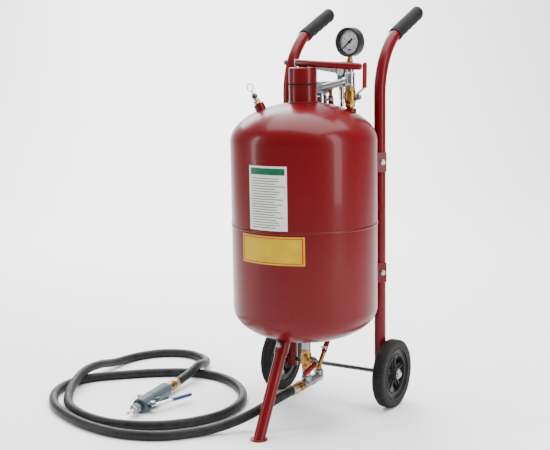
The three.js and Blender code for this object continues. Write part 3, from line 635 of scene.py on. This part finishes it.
def tube_line(side, start_z, from_angle, length, steps=30):
    """Up, back round the bend, then along the grip."""
    turned = BEND_ANGLE - from_angle
    bend = [bend_point(side, from_angle + turned * i / steps) for i in range(steps + 1)]
    ahead = V((0, math.sin(BEND_ANGLE), math.cos(BEND_ANGLE)))
    straight = [bend[-1] + ahead * length * (i + 1) / steps for i in range(steps)]
    low = [] if start_z is None else [on_tube(side, start_z)]
    return [*low, *bend, *straight]


GRIP_R, GRIP_TIP_R, GRIP_COLLAR = 18.6, 19.7, 2.2
FINGERS, FINGER_DEPTH = 5, 4.6
COLLAR_SHARE, TIP_FROM = 0.05, 0.955


def grip_radius(share, angle):
    """Grip with a collar at its mouth, finger bumps on its underside and a round tip."""
    under = max(0.0, math.sin(angle))
    bumps = abs(math.sin(math.pi * FINGERS * share)) ** 0.7 * FINGER_DEPTH * under ** 1.3
    rim = GRIP_COLLAR if share < COLLAR_SHARE else 0.0
    tip_share = max(0.0, (share - TIP_FROM) / (1 - TIP_FROM))
    tip = GRIP_TIP_R * math.sqrt(max(0.0, 1 - tip_share ** 2))
    return max(0.5, min(GRIP_R + bumps + rim, tip + (bumps if share < TIP_FROM else 0)))


BOLT_R, BOLT_FLATS, WASHER_R, WASHER_T = 4, 13, 8.4, 1.4
NUT_END, BOLT_END = 6, 7.5


def bolt(name, centre, axis, reach, node):
    """Hexagon bolt through a joint, washers under its head and nut, a little thread showing."""
    axis = axis.normalized()

    def at(distance):
        return centre + axis * distance
    parts = [(ZINC, rod(BOLT_R, at(reach + 1), at(-reach - 6.5), 20))]
    for way in (1, -1):
        parts.append((ZINC, rod(WASHER_R, at(way * reach), at(way * (reach + WASHER_T)), 32, 0.3)))
        parts.append((ZINC, hexagon(BOLT_FLATS, at(way * (reach + 1.3)), at(way * (reach + NUT_END)))))
    parts.append((ZINC, thread(BOLT_R, at(-reach - 5.5), at(-reach - BOLT_END), 1.25, 0.5, 20)))
    piece(name, parts, nodes=[node], bevel=0.3)


TREADS, TREAD_DEPTH, TREAD_SHARE, TREAD_FROM_R = 84, 1.6, 0.28, 95
BEAD_R, TYRE_HALF = 72, 18
HALF_FACE = [(86, TYRE_HALF), (92, TYRE_HALF), (96, 17), (98.6, 14.6), (99.7, 11), (100, 1.2), (98.4, 0.9)]
SIDE_GROOVE = [(82, TYRE_HALF), (80, 17), (78, 17), (76, TYRE_HALF)]
TYRE_PROFILE = closed([(BEAD_R, -TYRE_HALF), *((r, -x) for r, x in HALF_FACE), *HALF_FACE[::-1],
                       *SIDE_GROOVE, (BEAD_R, TYRE_HALF)])
SPOKES = 5
SPOKE_FOOT, SPOKE_END = 16, 56


def tread(radius, height, angle):
    """Grooves across the running face, those of its two halves out of step."""
    if radius < TREAD_FROM_R or abs(height) > TYRE_HALF - 0.1:
        return radius
    row = 0.5 if height > 0 else 0.0
    in_groove = (angle * TREADS / (2 * math.pi) + row) % 1 < TREAD_SHARE
    return radius - (TREAD_DEPTH if in_groove else 0.0)


def on_axle(x):
    return V((x, TUBE_Y, AXLE_Z))


def spoke(centre, index):
    """Waisted spoke with a raised rib along its middle."""
    turn = Matrix.Rotation(2 * math.pi * index / SPOKES, 3, "X")
    outline = [(-10.5, SPOKE_FOOT), (10.5, SPOKE_FOOT), (9.6, 32), (10.4, 46),
               (14, SPOKE_END), (-14, SPOKE_END), (-10.4, 46), (-9.6, 32)]
    rib = [(-2, SPOKE_FOOT), (2, SPOKE_FOOT), (2, SPOKE_END), (-2, SPOKE_END)]

    def place(u, v, w):
        return centre + turn @ V((w, u, v))
    return [(PLASTIC, extrude(outline, 12, place)), (PLASTIC, extrude(rib, 21, place))]


for name, side in SIDES.items():
    line = tube_line(side, 95, 0, HANDLE_STRAIGHT - 4)
    foot = on_tube(side, 80)
    piece(f"tube_{name}", [
        (RED, sweep(line, TUBE_R, 40)),
        (RED, pipe(TUBE_R, 14.6, foot, foot + UP * 16, 40)),
    ], nodes=[f"frame_tube_{name}"])
    grip_line = tube_line(side, None, GRIP_ANGLE, HANDLE_STRAIGHT + 8, 60)
    piece(f"handle_{name}", [(RUBBER, sweep(grip_line, grip_radius, 40))],
          nodes=[f"grip_{name}"], bevel=0, sharp=60)
    for level, z in BRACKETS.items():
        bolt(f"bolt_{level}_{name}", on_tube(side, z), tangent(side), 20.2, f"frame_bolt_{level}_{name}")
    centre = on_axle(side * WHEEL_X)
    out = V((side, 0, 0))
    piece(f"rubber_tyre_{name}", [(TYRE, lathe(TYRE_PROFILE, centre, out, TREADS * 8, tread))],
          f"wheel_{name}", [f"tyre_{name}"], 0, 50)
    wheel = [
        (PLASTIC, lathe(closed([(54, -14), (71.6, -14), (71.6, 14), (68, 14), (67, 11), (59, 11),
                                (57, 14), (54, 14)]), centre, out, 96)),
        (PLASTIC, lathe(closed([(6.6, -20), (17, -20), (19, -17), (19, 15), (17, 20), (12, 20),
                                (11, 18.5), (6.6, 18.5)]), centre, out, 64)),
    ]
    for index in range(SPOKES):
        wheel += spoke(centre, index)
    piece(f"wheel_centre_{name}", wheel, f"wheel_{name}", [f"wheel_hub_{name}"], 0.8)
    cap_at = on_axle(side * 208.5)
    piece(f"axle_nut_{name}", [
        (ZINC, lathe(closed([(6.5, 0), (14, 0), (14.2, 0.8), (13.6, 1.6), (6.5, 2)]), cap_at, out, 40)),
        (CHROME, lathe([(0, 1.4), (10.4, 1.4), (10.6, 3), (9.6, 5.6), (7, 7.6), (3.4, 8.4), (0, 8.5)],
                       cap_at, out, 48)),
    ], nodes=[f"axle_cap_{name}"], bevel=0.2)
piece("axle_bar", [(STEEL, rod(AXLE_R, on_axle(-AXLE_HALF), on_axle(AXLE_HALF), 40, 0.6))],
      nodes=["axle"], bevel=0)
FOOT_TOP = 1


def cut_at_foot(shape):
    """Slides points of the leg below its foot plate back up the leg, so it ends level."""
    points = [p - LEG_AXIS * min(0.0, p.z - FOOT_TOP) / LEG_AXIS.z for p in shape[0]]
    return points, shape[1]


piece("leg", [
    (RED, cut_at_foot(rod(16, along_leg(8), FOOT + LEG_AXIS * 12, 48))),
    (RED, lathe([(0, 0), (23, 0), (24, 1), (24, 3.6), (23, 4.5), (0, 4.5)], V((0, FOOT.y, 0)), UP, 64)),
], nodes=["front_leg"], bevel=0)
bolt("leg_pin", along_leg(18), LEG_BOLT_AXIS, 19.3, "leg_bolt")

# --- ball valves ---
VALVE_HALF, VALVE_MID = 28, 20
BALL_R, STEM_R = 11, 4
SLEEVE_THICK, SLEEVE_WIDE = 5.2, 9.2
SLEEVE_FROM_Z, SLEEVE_TO_Z = 26, 96


def sleeve_radius(share, angle):
    """Flattened section, a rounded end and a thicker lip at the open end."""
    flat = 1 / math.sqrt((math.cos(angle) / SLEEVE_THICK) ** 2 + (math.sin(angle) / SLEEVE_WIDE) ** 2)
    tip = math.sqrt(max(0.02, 1 - max(0.0, (share - 0.9) / 0.1) ** 2))
    return flat * tip * (1.05 if share < 0.06 else 1.0)


def ball_valve(name, centre, lever_turn, has_threaded_end):
    """Body with hexagon ends, stem and ball, and a cranked lever in a vinyl sleeve."""
    turn = Matrix.Rotation(lever_turn, 3, "X")

    def at(x=0.0, z=0.0):
        return centre + V((x, 0, z))

    def placed(shape):
        return [centre + turn @ p for p in shape[0]], shape[1]
    half = [(7.5, VALVE_MID), (12.8, VALVE_MID), (15.4, 15), (16.5, 9)]
    profile = closed([*((r, -z) for r, z in half), *half[::-1]])
    parts = [
        (BRASS, lathe(profile, centre, UP, 48)),
        (BRASS, hexagon(FITTING_FLATS, at(z=-VALVE_HALF), at(z=-16))),
        (BRASS, hexagon(FITTING_FLATS, at(z=16), at(z=VALVE_HALF))),
        (BRASS, rod(14.2, at(z=-17), at(z=-15.6), 40, 0.4)),
        (BRASS, rod(14.2, at(z=15.6), at(z=17), 40, 0.4)),
        (BRASS, rod(8.5, at(12), at(22.5), 36, 0.8)),
    ]
    if has_threaded_end:
        parts.append((BRASS, thread(PIPE_THREAD_R, at(z=-VALVE_HALF - 9), at(z=-VALVE_HALF + 1))))
    piece(f"{name}_housing", parts, nodes=[f"{name}_body"])
    handle = f"{name}_handle"
    piece(f"{name}_stem", [
        (CHROME, placed(rod(STEM_R, V((9.5, 0, 0)), V((34, 0, 0)), 24, 0.4))),
        (ZINC, placed(hexagon(BOLT_FLATS, V((27, 0, 0)), V((32, 0, 0))))),
        (CHROME, placed(ball(BALL_R, V((0, 0, 0)), 24))),
    ], handle, [f"{name}_ball"], 0.3)
    outline = [(23.4, -8), (24.2, -9), (25.4, -9), (26.2, -8), (26.2, 10.6), (45.7, 25.6),
               (47.1, 60), (44.6, 60), (43.1, 27), (23.4, 12)]
    sleeve_line = [V((45.3 + 0.02 * (z - 61), 0, z)) for z in range(SLEEVE_FROM_Z, SLEEVE_TO_Z + 1, 2)]
    piece(f"{name}_lever_arm", [
        (ZINC, placed(extrude(outline, 13, lambda u, v, w: V((u, w, v))))),
        (VINYL, placed(sweep(sleeve_line, sleeve_radius, 40))),
    ], handle, [f"{name}_lever"], 0.4, 60)


ball_valve("sand_valve", UP * 162, math.radians(100), has_threaded_end=False)
ball_valve("air_valve", on_stack(909), 0.0, has_threaded_end=True)

# --- outlet, below the tank ---
OUTLET_Z = 90
BRANCH_TOP = 112
COLLAR_HALF = 4


def run_at(y):
    return V((0, y, OUTLET_Z))


def collar(radius, centre, axis):
    """Rolled rim at the mouth of a malleable fitting."""
    half = [(radius - 3, COLLAR_HALF), (radius - 0.4, COLLAR_HALF), (radius + 1.2, COLLAR_HALF - 1.6)]
    lower = [(r, -z) for r, z in half]
    return lathe(closed([*lower, (radius + 1.4, 0), *half[::-1]]), centre, axis, 40)


piece("nipple_upper", [
    (ZINC, pipe(13, OUTLET_BORE, UP * 190.5, UP * 232, 48)),
    (ZINC, thread(12.6, UP * 190.4, UP * 199)),
    (ZINC, thread(PIPE_THREAD_R, UP * 183, UP * 192)),
], nodes=["outlet_nipple"])
piece("nipple_lower", [
    (ZINC, rod(12.4, UP * (BRANCH_TOP + GAP), UP * (134 - GAP), 40, 0.8)),
    (ZINC, thread(PIPE_THREAD_R, UP * (BRANCH_TOP - 7), UP * BRANCH_TOP)),
], nodes=["lower_nipple"])
piece("tee", [
    (ZINC, rod(13.2, run_at(-23), run_at(29), 48)),
    (ZINC, ball(14.2, run_at(0), 40)),
    (ZINC, collar(13.5, run_at(25.5), REAR)),
    (ZINC, collar(13.5, run_at(-19.5), REAR)),
    (ZINC, rod(13.2, run_at(0), UP * BRANCH_TOP, 48)),
    (ZINC, collar(13.2, UP * (BRANCH_TOP - 4.2), UP)),
], nodes=["mixing_tee"])
ELBOW_Y = 73
ELBOW = run_at(ELBOW_Y)
ELBOW_TOP = V((0, ELBOW_Y, 112))
piece("elbow", [
    (ZINC, rod(13.3, run_at(30.4), ELBOW, 48)),
    (ZINC, ball(13.4, ELBOW, 48)),
    (ZINC, rod(13.3, ELBOW, ELBOW_TOP, 48)),
    (ZINC, collar(13, run_at(36), REAR)),
    (ZINC, collar(13, ELBOW_TOP - UP * 4.2, UP)),
], nodes=["air_elbow"])
BARB_BEND = V((0, ELBOW_Y, 121))
HOSE_START = V(AIR_HOSE_ROUTE[0])
HOSE_AXIS = (V(AIR_HOSE_ROUTE[1]) - HOSE_START).normalized()
piece("hose_barb", [
    (BRASS, hexagon(19, ELBOW_TOP + UP * GAP, BARB_BEND)),
    (BRASS, ball(8, BARB_BEND)),
    (BRASS, rod(6.5, BARB_BEND, HOSE_START - HOSE_AXIS * 0.6)),
], nodes=["air_hose_barb"])


def clamp(name, centre, axis, radius):
    """Worm-drive clamp: band, screw housing and slotted screw."""
    axis = axis.normalized()
    first, second = basis(axis)
    out = second if second.y < 0 else -second
    screw = centre + out * (radius + 3)
    inner, outer, half = radius - 0.2, radius + 0.7, 4.5
    slots = lathe(closed([(inner, -half), (outer, -half), (outer, half), (inner, half)]), centre, axis, 60,
                  lambda r, _height, angle: r - (0.25 if r > radius and (angle * 9) % 1 < 0.4 else 0))
    piece(name, [
        (CHROME, slots),
        (CHROME, rod(3.2, screw - first * 7, screw + first * 5, 20, 0.6)),
        (ZINC, hexagon(7, screw + first * 5, screw + first * 8.5)),
    ], bevel=0.2)


clamp("clamp_low", HOSE_START + HOSE_AXIS * 10, HOSE_AXIS, AIR_HOSE_R)
clamp("clamp_high", V((-8, 172.6, 895)), V((0, -0.06, 1)), AIR_HOSE_R)


swivel_profile = [(0, 0), (13.4, 0), (15, 1.4), (15, 4), (13.6, 5), (13.6, 8), (15, 9), (15, 20),
                  (14, 22.6), (0, 22.6)]
piece("swivel", [
    (BRASS, hexagon(FITTING_FLATS, run_at(-24.3), run_at(-38))),
    (BRASS, lathe(swivel_profile, run_at(-37.4), FRONT, 96)),
], nodes=["outlet_swivel"])
crimps = [(0, 0), (14.5, 0), (15.5, 1)]
for start in (5, 11, 17):
    crimps += [(15.5, start), (14.6, start + 1.3), (14.6, start + 3.2), (15.5, start + 4.5)]
piece("ferrule", [(YELLOW_ZINC, lathe([*crimps, (15.5, 25.6), (14.2, 27.2), (0, 27.2)],
                                      run_at(-60.3), FRONT, 64))],
      nodes=["outlet_ferrule"], bevel=0.2)

# --- air inlet, tee and gauge ---
TEE = on_stack(954)
PIPE_END = V((-38, 165, 927))
PIPE_AXIS = (PIPE_END - TEE).normalized()


def along_pipe(distance):
    return TEE + PIPE_AXIS * distance


piece("stack_fitting", [
    (CHROME, rod(13, on_stack(937.4), on_stack(976.6), 48, 0.8)),
    (CHROME, collar(12.6, on_stack(942), UP)),
    (CHROME, collar(12.6, on_stack(972), UP)),
    (CHROME, rod(13, TEE, along_pipe(29), 48)),
    (CHROME, collar(12.6, along_pipe(25.6), PIPE_AXIS)),
], nodes=["stack_tee"])
piece("inlet_tube", [
    (ZINC, pipe(10.5, 8, along_pipe(20), PIPE_END, 48)),
    (ZINC, thread(10.9, along_pipe(30), along_pipe(38))),
], nodes=["inlet_pipe"])
RISER_BOTTOM, RISER_TOP = 977.3, 1003
piece("riser", [(CHROME, lathe(
    [(0, 0), (10, 0), (11, 1.2), (11, 24), (10, 25.7), (0, 25.7)], on_stack(RISER_BOTTOM), UP, 48))],
    nodes=["gauge_riser"], bevel=0.2)

GAUGE_Z, DIAL_R = 1059, 32
GAUGE_YAW = math.radians(-7)
FACE = V((math.sin(GAUGE_YAW), -math.cos(GAUGE_YAW), 0))
FACE_RIGHT = V((math.cos(GAUGE_YAW), math.sin(GAUGE_YAW), 0))
GAUGE = on_stack(GAUGE_Z)


def on_dial(u, v, lift):
    """A point on the gauge's face: across, up, and out of it."""
    return GAUGE + FACE_RIGHT * u + UP * v + FACE * lift


def dial_shape(outline, angle, thick, lift):
    """Flat outline about the dial's middle, turned clockwise from straight up."""
    c, s = math.cos(angle), math.sin(angle)
    return extrude(outline, thick, lambda u, v, w: on_dial(u * c + v * s, -u * s + v * c, lift + w))


def dial_mark(angle, inner, outer, width):
    """A short bar pointing at the dial's middle."""
    outline = [(-width / 2, inner), (width / 2, inner), (width / 2, outer), (-width / 2, outer)]
    return dial_shape(outline, angle, 0.3, 2.5)


case_profile = [(0, -18), (34, -18), (37.5, -16.5), (40, -13), (40, 12), (39.4, 13.6), (38.2, 14.2),
                (36.2, 13.6), (33, 10.6), (32.2, 8.6), (32.2, 1), (0, 1)]
piece("gauge_shell", [
    (PLASTIC, lathe(case_profile, GAUGE, FACE, 96)),
    (BRASS, hexagon(17, on_stack(RISER_TOP + GAP), on_stack(1014))),
    (BRASS, rod(6.5, on_stack(1013), on_stack(GAUGE_Z - 34), 32)),
], nodes=["gauge_case"], bevel=0.3)
DIAL_START, DIAL_SPAN = math.radians(-130), math.radians(260)
TICKS, ARC_BARS, TOP_NUMBER = 40, 60, 8
marks = [(WHITE, lathe([(0, 1.2), (DIAL_R, 1.2), (DIAL_R, 2.2), (0, 2.2)], GAUGE, FACE, 96))]
for step in range(TICKS + 1):
    angle = DIAL_START + DIAL_SPAN * step / TICKS
    is_long = step % 5 == 0
    marks.append((PLASTIC, dial_mark(angle, 23.5 if is_long else 26.4, 29.4, 1.3 if is_long else 0.6)))
for step in range(ARC_BARS):
    angle = DIAL_START + DIAL_SPAN * (step + 0.5) / ARC_BARS
    marks.append((PLASTIC, dial_mark(angle, 29.8, 30.3, 2.4)))
marks.append((BLUE_INK, dial_mark(math.pi, 19.0, 23.0, 12)))
piece("gauge_dial", marks, bevel=0)
NUMBER_SIZE, NUMBER_R, NUMBER_DEPTH = 0.0072, 18.4, 0.0001
for step in range(0, TOP_NUMBER + 1, 2):
    angle = DIAL_START + DIAL_SPAN * step / TOP_NUMBER
    text = bpy.data.curves.new(f"dial_number_{step}", "FONT")
    text.body = str(step)
    text.size = NUMBER_SIZE
    text.align_x, text.align_y = "CENTER", "CENTER"
    text.extrude = NUMBER_DEPTH
    text.materials.append(PLASTIC)
    number = add_object(f"dial_number_{step}", text)
    place = Matrix((FACE_RIGHT, UP, FACE)).transposed().to_4x4()
    spot = to_row(on_dial(NUMBER_R * math.sin(angle), NUMBER_R * math.cos(angle), 2.4))
    number.matrix_world = Matrix.Translation(spot) @ place
    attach(number, POT)
piece("gauge_lens", [(GLASS, lathe([(0, 8.8), (32.6, 8.8), (32.6, 9.8), (24, 10.7), (12, 11.2), (0, 11.4)],
                                   GAUGE, FACE, 96))], bevel=0)
piece("needle", [
    (PLASTIC, dial_shape([(-2.6, -14), (2.6, -14), (2.4, 0), (0.9, 26), (-0.9, 26), (-2.4, 0)],
                         DIAL_START, 0.8, 4.2)),
    (PLASTIC, lathe([(0, 2.4), (4, 2.4), (4, 5), (3, 6), (0, 6)], GAUGE, FACE, 32)),
], "gauge_needle", ["gauge_needle"], 0.15)

# --- separator, regulator and their strap ---
HEADER_Y = 172
SEPARATOR = V((-45, HEADER_Y, 929))
piece("filter_head", [
    (ZINC, block((50, 40, 34), SEPARATOR)),
    (ZINC, pipe(14, 10.8, SEPARATOR + V((25, -8, -2)), SEPARATOR + V((29, -9, -2)), 40)),
    (ZINC, rod(23.5, SEPARATOR - UP * 17.1, SEPARATOR - UP * 13, 64)),
], nodes=["separator_head"], bevel=3)
BOWL_R, BOWL_TOP = 23, 911.7
bowl_profile = [(0, 866), (12, 866), (17, 866.8), (21, 869.6), (22.8, 875), (BOWL_R, 880),
                (BOWL_R, BOWL_TOP - 8), (21.8, BOWL_TOP - 6.5), (21.8, BOWL_TOP - 4),
                (BOWL_R, BOWL_TOP - 2.5), (BOWL_R, BOWL_TOP), (0, BOWL_TOP)]
piece("filter_bowl", [(CHROME, lathe(bowl_profile, V((SEPARATOR.x, SEPARATOR.y, 0)), UP, 72))],
      nodes=["separator_bowl"], bevel=0.2)


def link_at(x, z=937):
    return V((x, HEADER_Y, z))


piece("link_fitting", [
    (BRASS, rod(6.5, link_at(-19.7), link_at(26.7))),
    (BRASS, ball(8.2, link_at(-8))),
    (BRASS, hexagon(15, link_at(-8, 934), link_at(-8, 921))),
    (BRASS, rod(5.5, link_at(-8, 922), link_at(-8, 905))),
], nodes=["link_tee"])
REG_X, REG_Y = 44, 163
REGULATOR = V((REG_X, REG_Y, 961))
KNURLS, KNURL_DEPTH = 24, 0.7


def reg_at(z, x=REG_X):
    return V((x, REG_Y, z))


def knurl(r, _height, angle):
    """Grooves round the knob's rim."""
    return r - (KNURL_DEPTH if (angle * KNURLS / (2 * math.pi)) % 1 < 0.4 else 0)


piece("regulator", [
    (CAST, block((34, 29.4, 52), REGULATOR - UP * 3.5)),
    (CAST, rod(14.4, reg_at(980), reg_at(990.8), 48, 0.8)),
], nodes=["regulator_body"], bevel=2.5)
piece("regulator_dial", [(PLASTIC, lathe(
    [(0, 0), (13, 0), (13, 8.6), (12, 10.8), (9, 11.7), (0, 11.7)], reg_at(991.3), UP, 96, knurl))],
    "regulator_knob", ["regulator_knob"], 0.2)
SMALL_GAUGE = V((REG_X - 1, REG_Y - 15, 976))
small_profile = [(0, 0), (5, 0), (5, 3), (12.6, 3), (13.5, 4), (13.5, 11.6), (12.6, 12.2), (11.8, 11.6),
                 (11.8, 10), (0, 10)]
piece("small_gauge", [
    (PLASTIC, lathe(small_profile, SMALL_GAUGE, FRONT, 64)),
    (WHITE, rod(11.7, SMALL_GAUGE + FRONT * 9.9, SMALL_GAUGE + FRONT * 10.4, 64)),
    (PLASTIC, block((1.2, 0.4, 10), SMALL_GAUGE + V((-2.4, -10.6, 1.5)))),
], nodes=["regulator_gauge"], bevel=0.2)
PLUG_TOP = reg_at(930.7, REG_X - 10)
piece("air_plug", [(CHROME, lathe(
    [(0, 0), (8.5, 0), (8.5, 10), (7, 10.4), (7, 34), (5, 35), (5, 42), (6, 44), (6, 50), (4.5, 56), (0, 56)],
    PLUG_TOP, -UP, 40))], nodes=["inlet_plug"], bevel=0.2)

STRAP_Y, STRAP_T = 178, 3
STRAP_LEFT, STRAP_RIGHT = -132.5, REG_X + 10
strap_outline = [(STRAP_LEFT, 990), (STRAP_RIGHT, 963), (STRAP_RIGHT, 983), (STRAP_LEFT, 1010)]


def screw_at(x):
    return V((x, 190, 1000))


piece("strap", [
    (ZINC, extrude(strap_outline, STRAP_T, lambda u, v, w: V((u, STRAP_Y + STRAP_T / 2 + w, v)))),
    (ZINC, block((STRAP_T, 26, 22), screw_at(-131.2))),
], nodes=["mounting_strap"], bevel=0.6)
piece("strap_screw", [
    (ZINC, rod(BOLT_R, screw_at(-173.5), screw_at(-122), 24)),
    (ZINC, rod(8.2, screw_at(-168), screw_at(-166.8), 32)),
    (ZINC, hexagon(BOLT_FLATS, screw_at(-173), screw_at(-167.6))),
    (ZINC, hexagon(BOLT_FLATS, screw_at(-129.4), screw_at(-123.5))),
], nodes=["strap_bolt"], bevel=0.3)

# --- safety valve ---
piece("relief_valve", [
    (BRASS, hexagon(19, along_safety(24.3), along_safety(34))),
    (CHROME, lathe([(0, 0), (8, 0), (8, 5), (6.8, 6), (6.8, 8), (8, 9), (8, 19), (6.4, 22.8), (0, 22.8)],
                   along_safety(33.2), SAFETY_AXIS, 48)),
    (PLASTIC, pipe(8.15, 6.6, along_safety(43.4), along_safety(49.6))),
], nodes=["safety_valve"], bevel=0.3)
piece("pull_ring", [
    (CHROME, torus(10, 1.4, along_safety(74), REAR, 56)),
    (CHROME, rod(2, along_safety(31), along_safety(65.6), 20)),
], "safety_ring", ["safety_pull_ring"], 0)

# --- gun, along its own +X from the rear, lever on its own +Y side ---
GUN_PLACE = V((-452, -74, 23))
GUN_TURN = Matrix.Rotation(math.radians(-80), 3, "Z")
ALONG = V((1, 0, 0))


def gun(shape):
    """A shape given along the gun, put where the gun lies."""
    return [GUN_PLACE + GUN_TURN @ V(p) for p in shape[0]], shape[1]


def gun_turned(profile):
    return gun(lathe(profile, axis=ALONG, sides=64))


rings = [(0, -51.4), (14.6, -51.4), (15, -50)]
for start in (-48, -42, -36):
    rings += [(15, start), (13.8, start + 1), (13.8, start + 2.4), (15, start + 3.4)]
piece("gun_swivel", [
    (ZINC, gun(hexagon(16, ALONG * -12, ALONG * -0.3))),
    (ZINC, gun(hexagon(FITTING_FLATS, ALONG * -22, ALONG * -11))),
    (BRASS, gun_turned([*rings, (15, -26), (14, -21.4), (0, -21.4)])),
    (YELLOW_ZINC, gun_turned([(0, -72), (14, -72), (15, -71), (15, -66), (14.2, -65), (14.2, -62), (15, -61),
                              (15, -52.4), (14, -51.2), (0, -51.2)])),
], nodes=["gun_coupling"], bevel=0.3)


def two_part(name, near, far, along, limit):
    """One finish short of a limit along a direction and another past it, for a node made of both."""
    made = bpy.data.materials.new(name)
    made.use_nodes = True
    tree = made.node_tree
    link = tree.links.new
    tree.nodes.clear()
    output = add_node(tree, "OutputMaterial")
    mix = add_node(tree, "MixShader")
    place = add_node(tree, "TexCoord")
    dot = add_node(tree, "VectorMath")
    dot.operation = "DOT_PRODUCT"
    dot.inputs[1].default_value = along
    past = add_node(tree, "Math")
    past.operation = "GREATER_THAN"
    past.inputs[1].default_value = limit
    link(place.outputs["Object"], dot.inputs[0])
    link(dot.outputs["Value"], past.inputs[0])
    link(past.outputs["Value"], mix.inputs["Fac"])
    for index, (dark, light, rough, metal) in enumerate((near, far)):
        shader = add_node(tree, "BsdfPrincipled", Metallic=metal)
        noise = add_node(tree, "TexNoise", Scale=80.0, Detail=6.0)
        ramp = add_node(tree, "ValToRGB")
        ramp.color_ramp.elements[0].color = (*dark, 1)
        ramp.color_ramp.elements[1].color = (*light, 1)
        gloss = add_node(tree, "MapRange", **{"To Min": rough[0], "To Max": rough[1]})
        link(place.outputs["Object"], noise.inputs["Vector"])
        link(noise.outputs["Fac"], ramp.inputs["Fac"])
        link(noise.outputs["Fac"], gloss.inputs["Value"])
        link(ramp.outputs["Color"], shader.inputs["Base Color"])
        link(gloss.outputs["Result"], shader.inputs["Roughness"])
        link(shader.outputs["BSDF"], mix.inputs[index + 1])
    link(mix.outputs["Shader"], output.inputs["Surface"])
    return made


def dress(node, finish):
    """Gives a carried-over CAD node a finish."""
    for material_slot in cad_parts[node].material_slots:
        material_slot.material = finish


PIVOT = GUN_PLACE + GUN_TURN @ V((150, 33, 0))
LEVER_ANGLE = math.radians(155)
LEVER_WAY = GUN_TURN @ V((math.cos(LEVER_ANGLE), math.sin(LEVER_ANGLE), 0))
SLEEVE_START = 72
BARE_STEEL = ((0.50, 0.51, 0.52), (0.68, 0.69, 0.70), (0.26, 0.4), 1.0)
BLUE_VINYL = ((0.012, 0.035, 0.13), (0.02, 0.055, 0.19), (0.3, 0.42), 0.0)
lever_finish = two_part("lever_steel_and_vinyl", BARE_STEEL, BLUE_VINYL,
                        LEVER_WAY, LEVER_WAY.dot(to_row(PIVOT + LEVER_WAY * SLEEVE_START)))
dress("gun_body", CAST)
dress("gun_lever", lever_finish)
dress("gun_pivot_screw", CHROME)
dress("gun_nozzle_nut", ZINC)
dress("gun_nozzle", CERAMIC)

to_row(blast_line[0])
line_length(blast_line)
[to_row(p) for p in blast_line]
to_row(air_line[0])
line_length(air_line)
[to_row(p) for p in air_line]


# --- floor and light ---
PALE = material("pale_floor", (0.91, 0.91, 0.91), (0.93, 0.93, 0.93), (0.6, 0.7), scale=3, bump=0.02)
FLOOR_FRONT, FLOOR_BACK, FLOOR_HALF_WIDTH, WALL_HEIGHT = -6.0, 3.2, 9.0, 8.0
SWEEP_R, SWEEP_STEPS = 2.0, 24


def make_floor():
    """Pale sheet that rises behind the object."""
    angles = [math.pi / 2 * i / SWEEP_STEPS for i in range(SWEEP_STEPS + 1)]
    curve = [(FLOOR_BACK + SWEEP_R * math.sin(a), SWEEP_R - SWEEP_R * math.cos(a)) for a in angles]
    profile = [(FLOOR_FRONT, 0.0), *curve, (FLOOR_BACK + SWEEP_R, WALL_HEIGHT)]
    points = [(x, y, z) for x in (-FLOOR_HALF_WIDTH, FLOOR_HALF_WIDTH) for y, z in profile]
    count = len(profile)
    faces = [(i, i + count, i + count + 1, i + 1) for i in range(count - 1)]
    mesh = bpy.data.meshes.new("floor")
    mesh.from_pydata(points, [], faces)
    mesh.polygons.foreach_set("use_smooth", [True] * len(faces))
    mesh.materials.append(PALE)
    floor = add_object("floor", mesh)
    floor.rotation_euler = (0, 0, math.radians(30))


def area_light(name, place, target, width, height, power):
    """Soft rectangular light, aimed at a target."""
    data = bpy.data.lights.new(name, "AREA")
    data.shape = "RECTANGLE"
    data.size = width
    data.size_y = height
    data.energy = power
    lamp = add_object(name, data)
    lamp.location = place
    lamp.rotation_euler = (V(target) - V(place)).to_track_quat("-Z", "Y").to_euler()


make_floor()
area_light("key_left", (-2.4, -2.0, 1.4), (0, 0, 0.6), 0.5, 2.4, 50)
area_light("fill_right", (2.3, -0.4, 1.5), (0, 0, 0.6), 0.6, 2.6, 60)
area_light("top", (0.0, 0.6, 4.4), (0, 0.4, 0), 5.0, 4.0, 520)
area_light("floor_wash", (-2.6, 2.4, 2.8), (-1.6, 3.0, 0), 2.6, 2.6, 260)
WORLD_STRENGTH = 0.42
world = bpy.data.worlds.new("studio")
world.use_nodes = True
background = world.node_tree.nodes["Background"]
background.inputs["Color"].default_value = (1, 1, 1, 1)
background.inputs["Strength"].default_value = WORLD_STRENGTH
bpy.context.scene.world = world
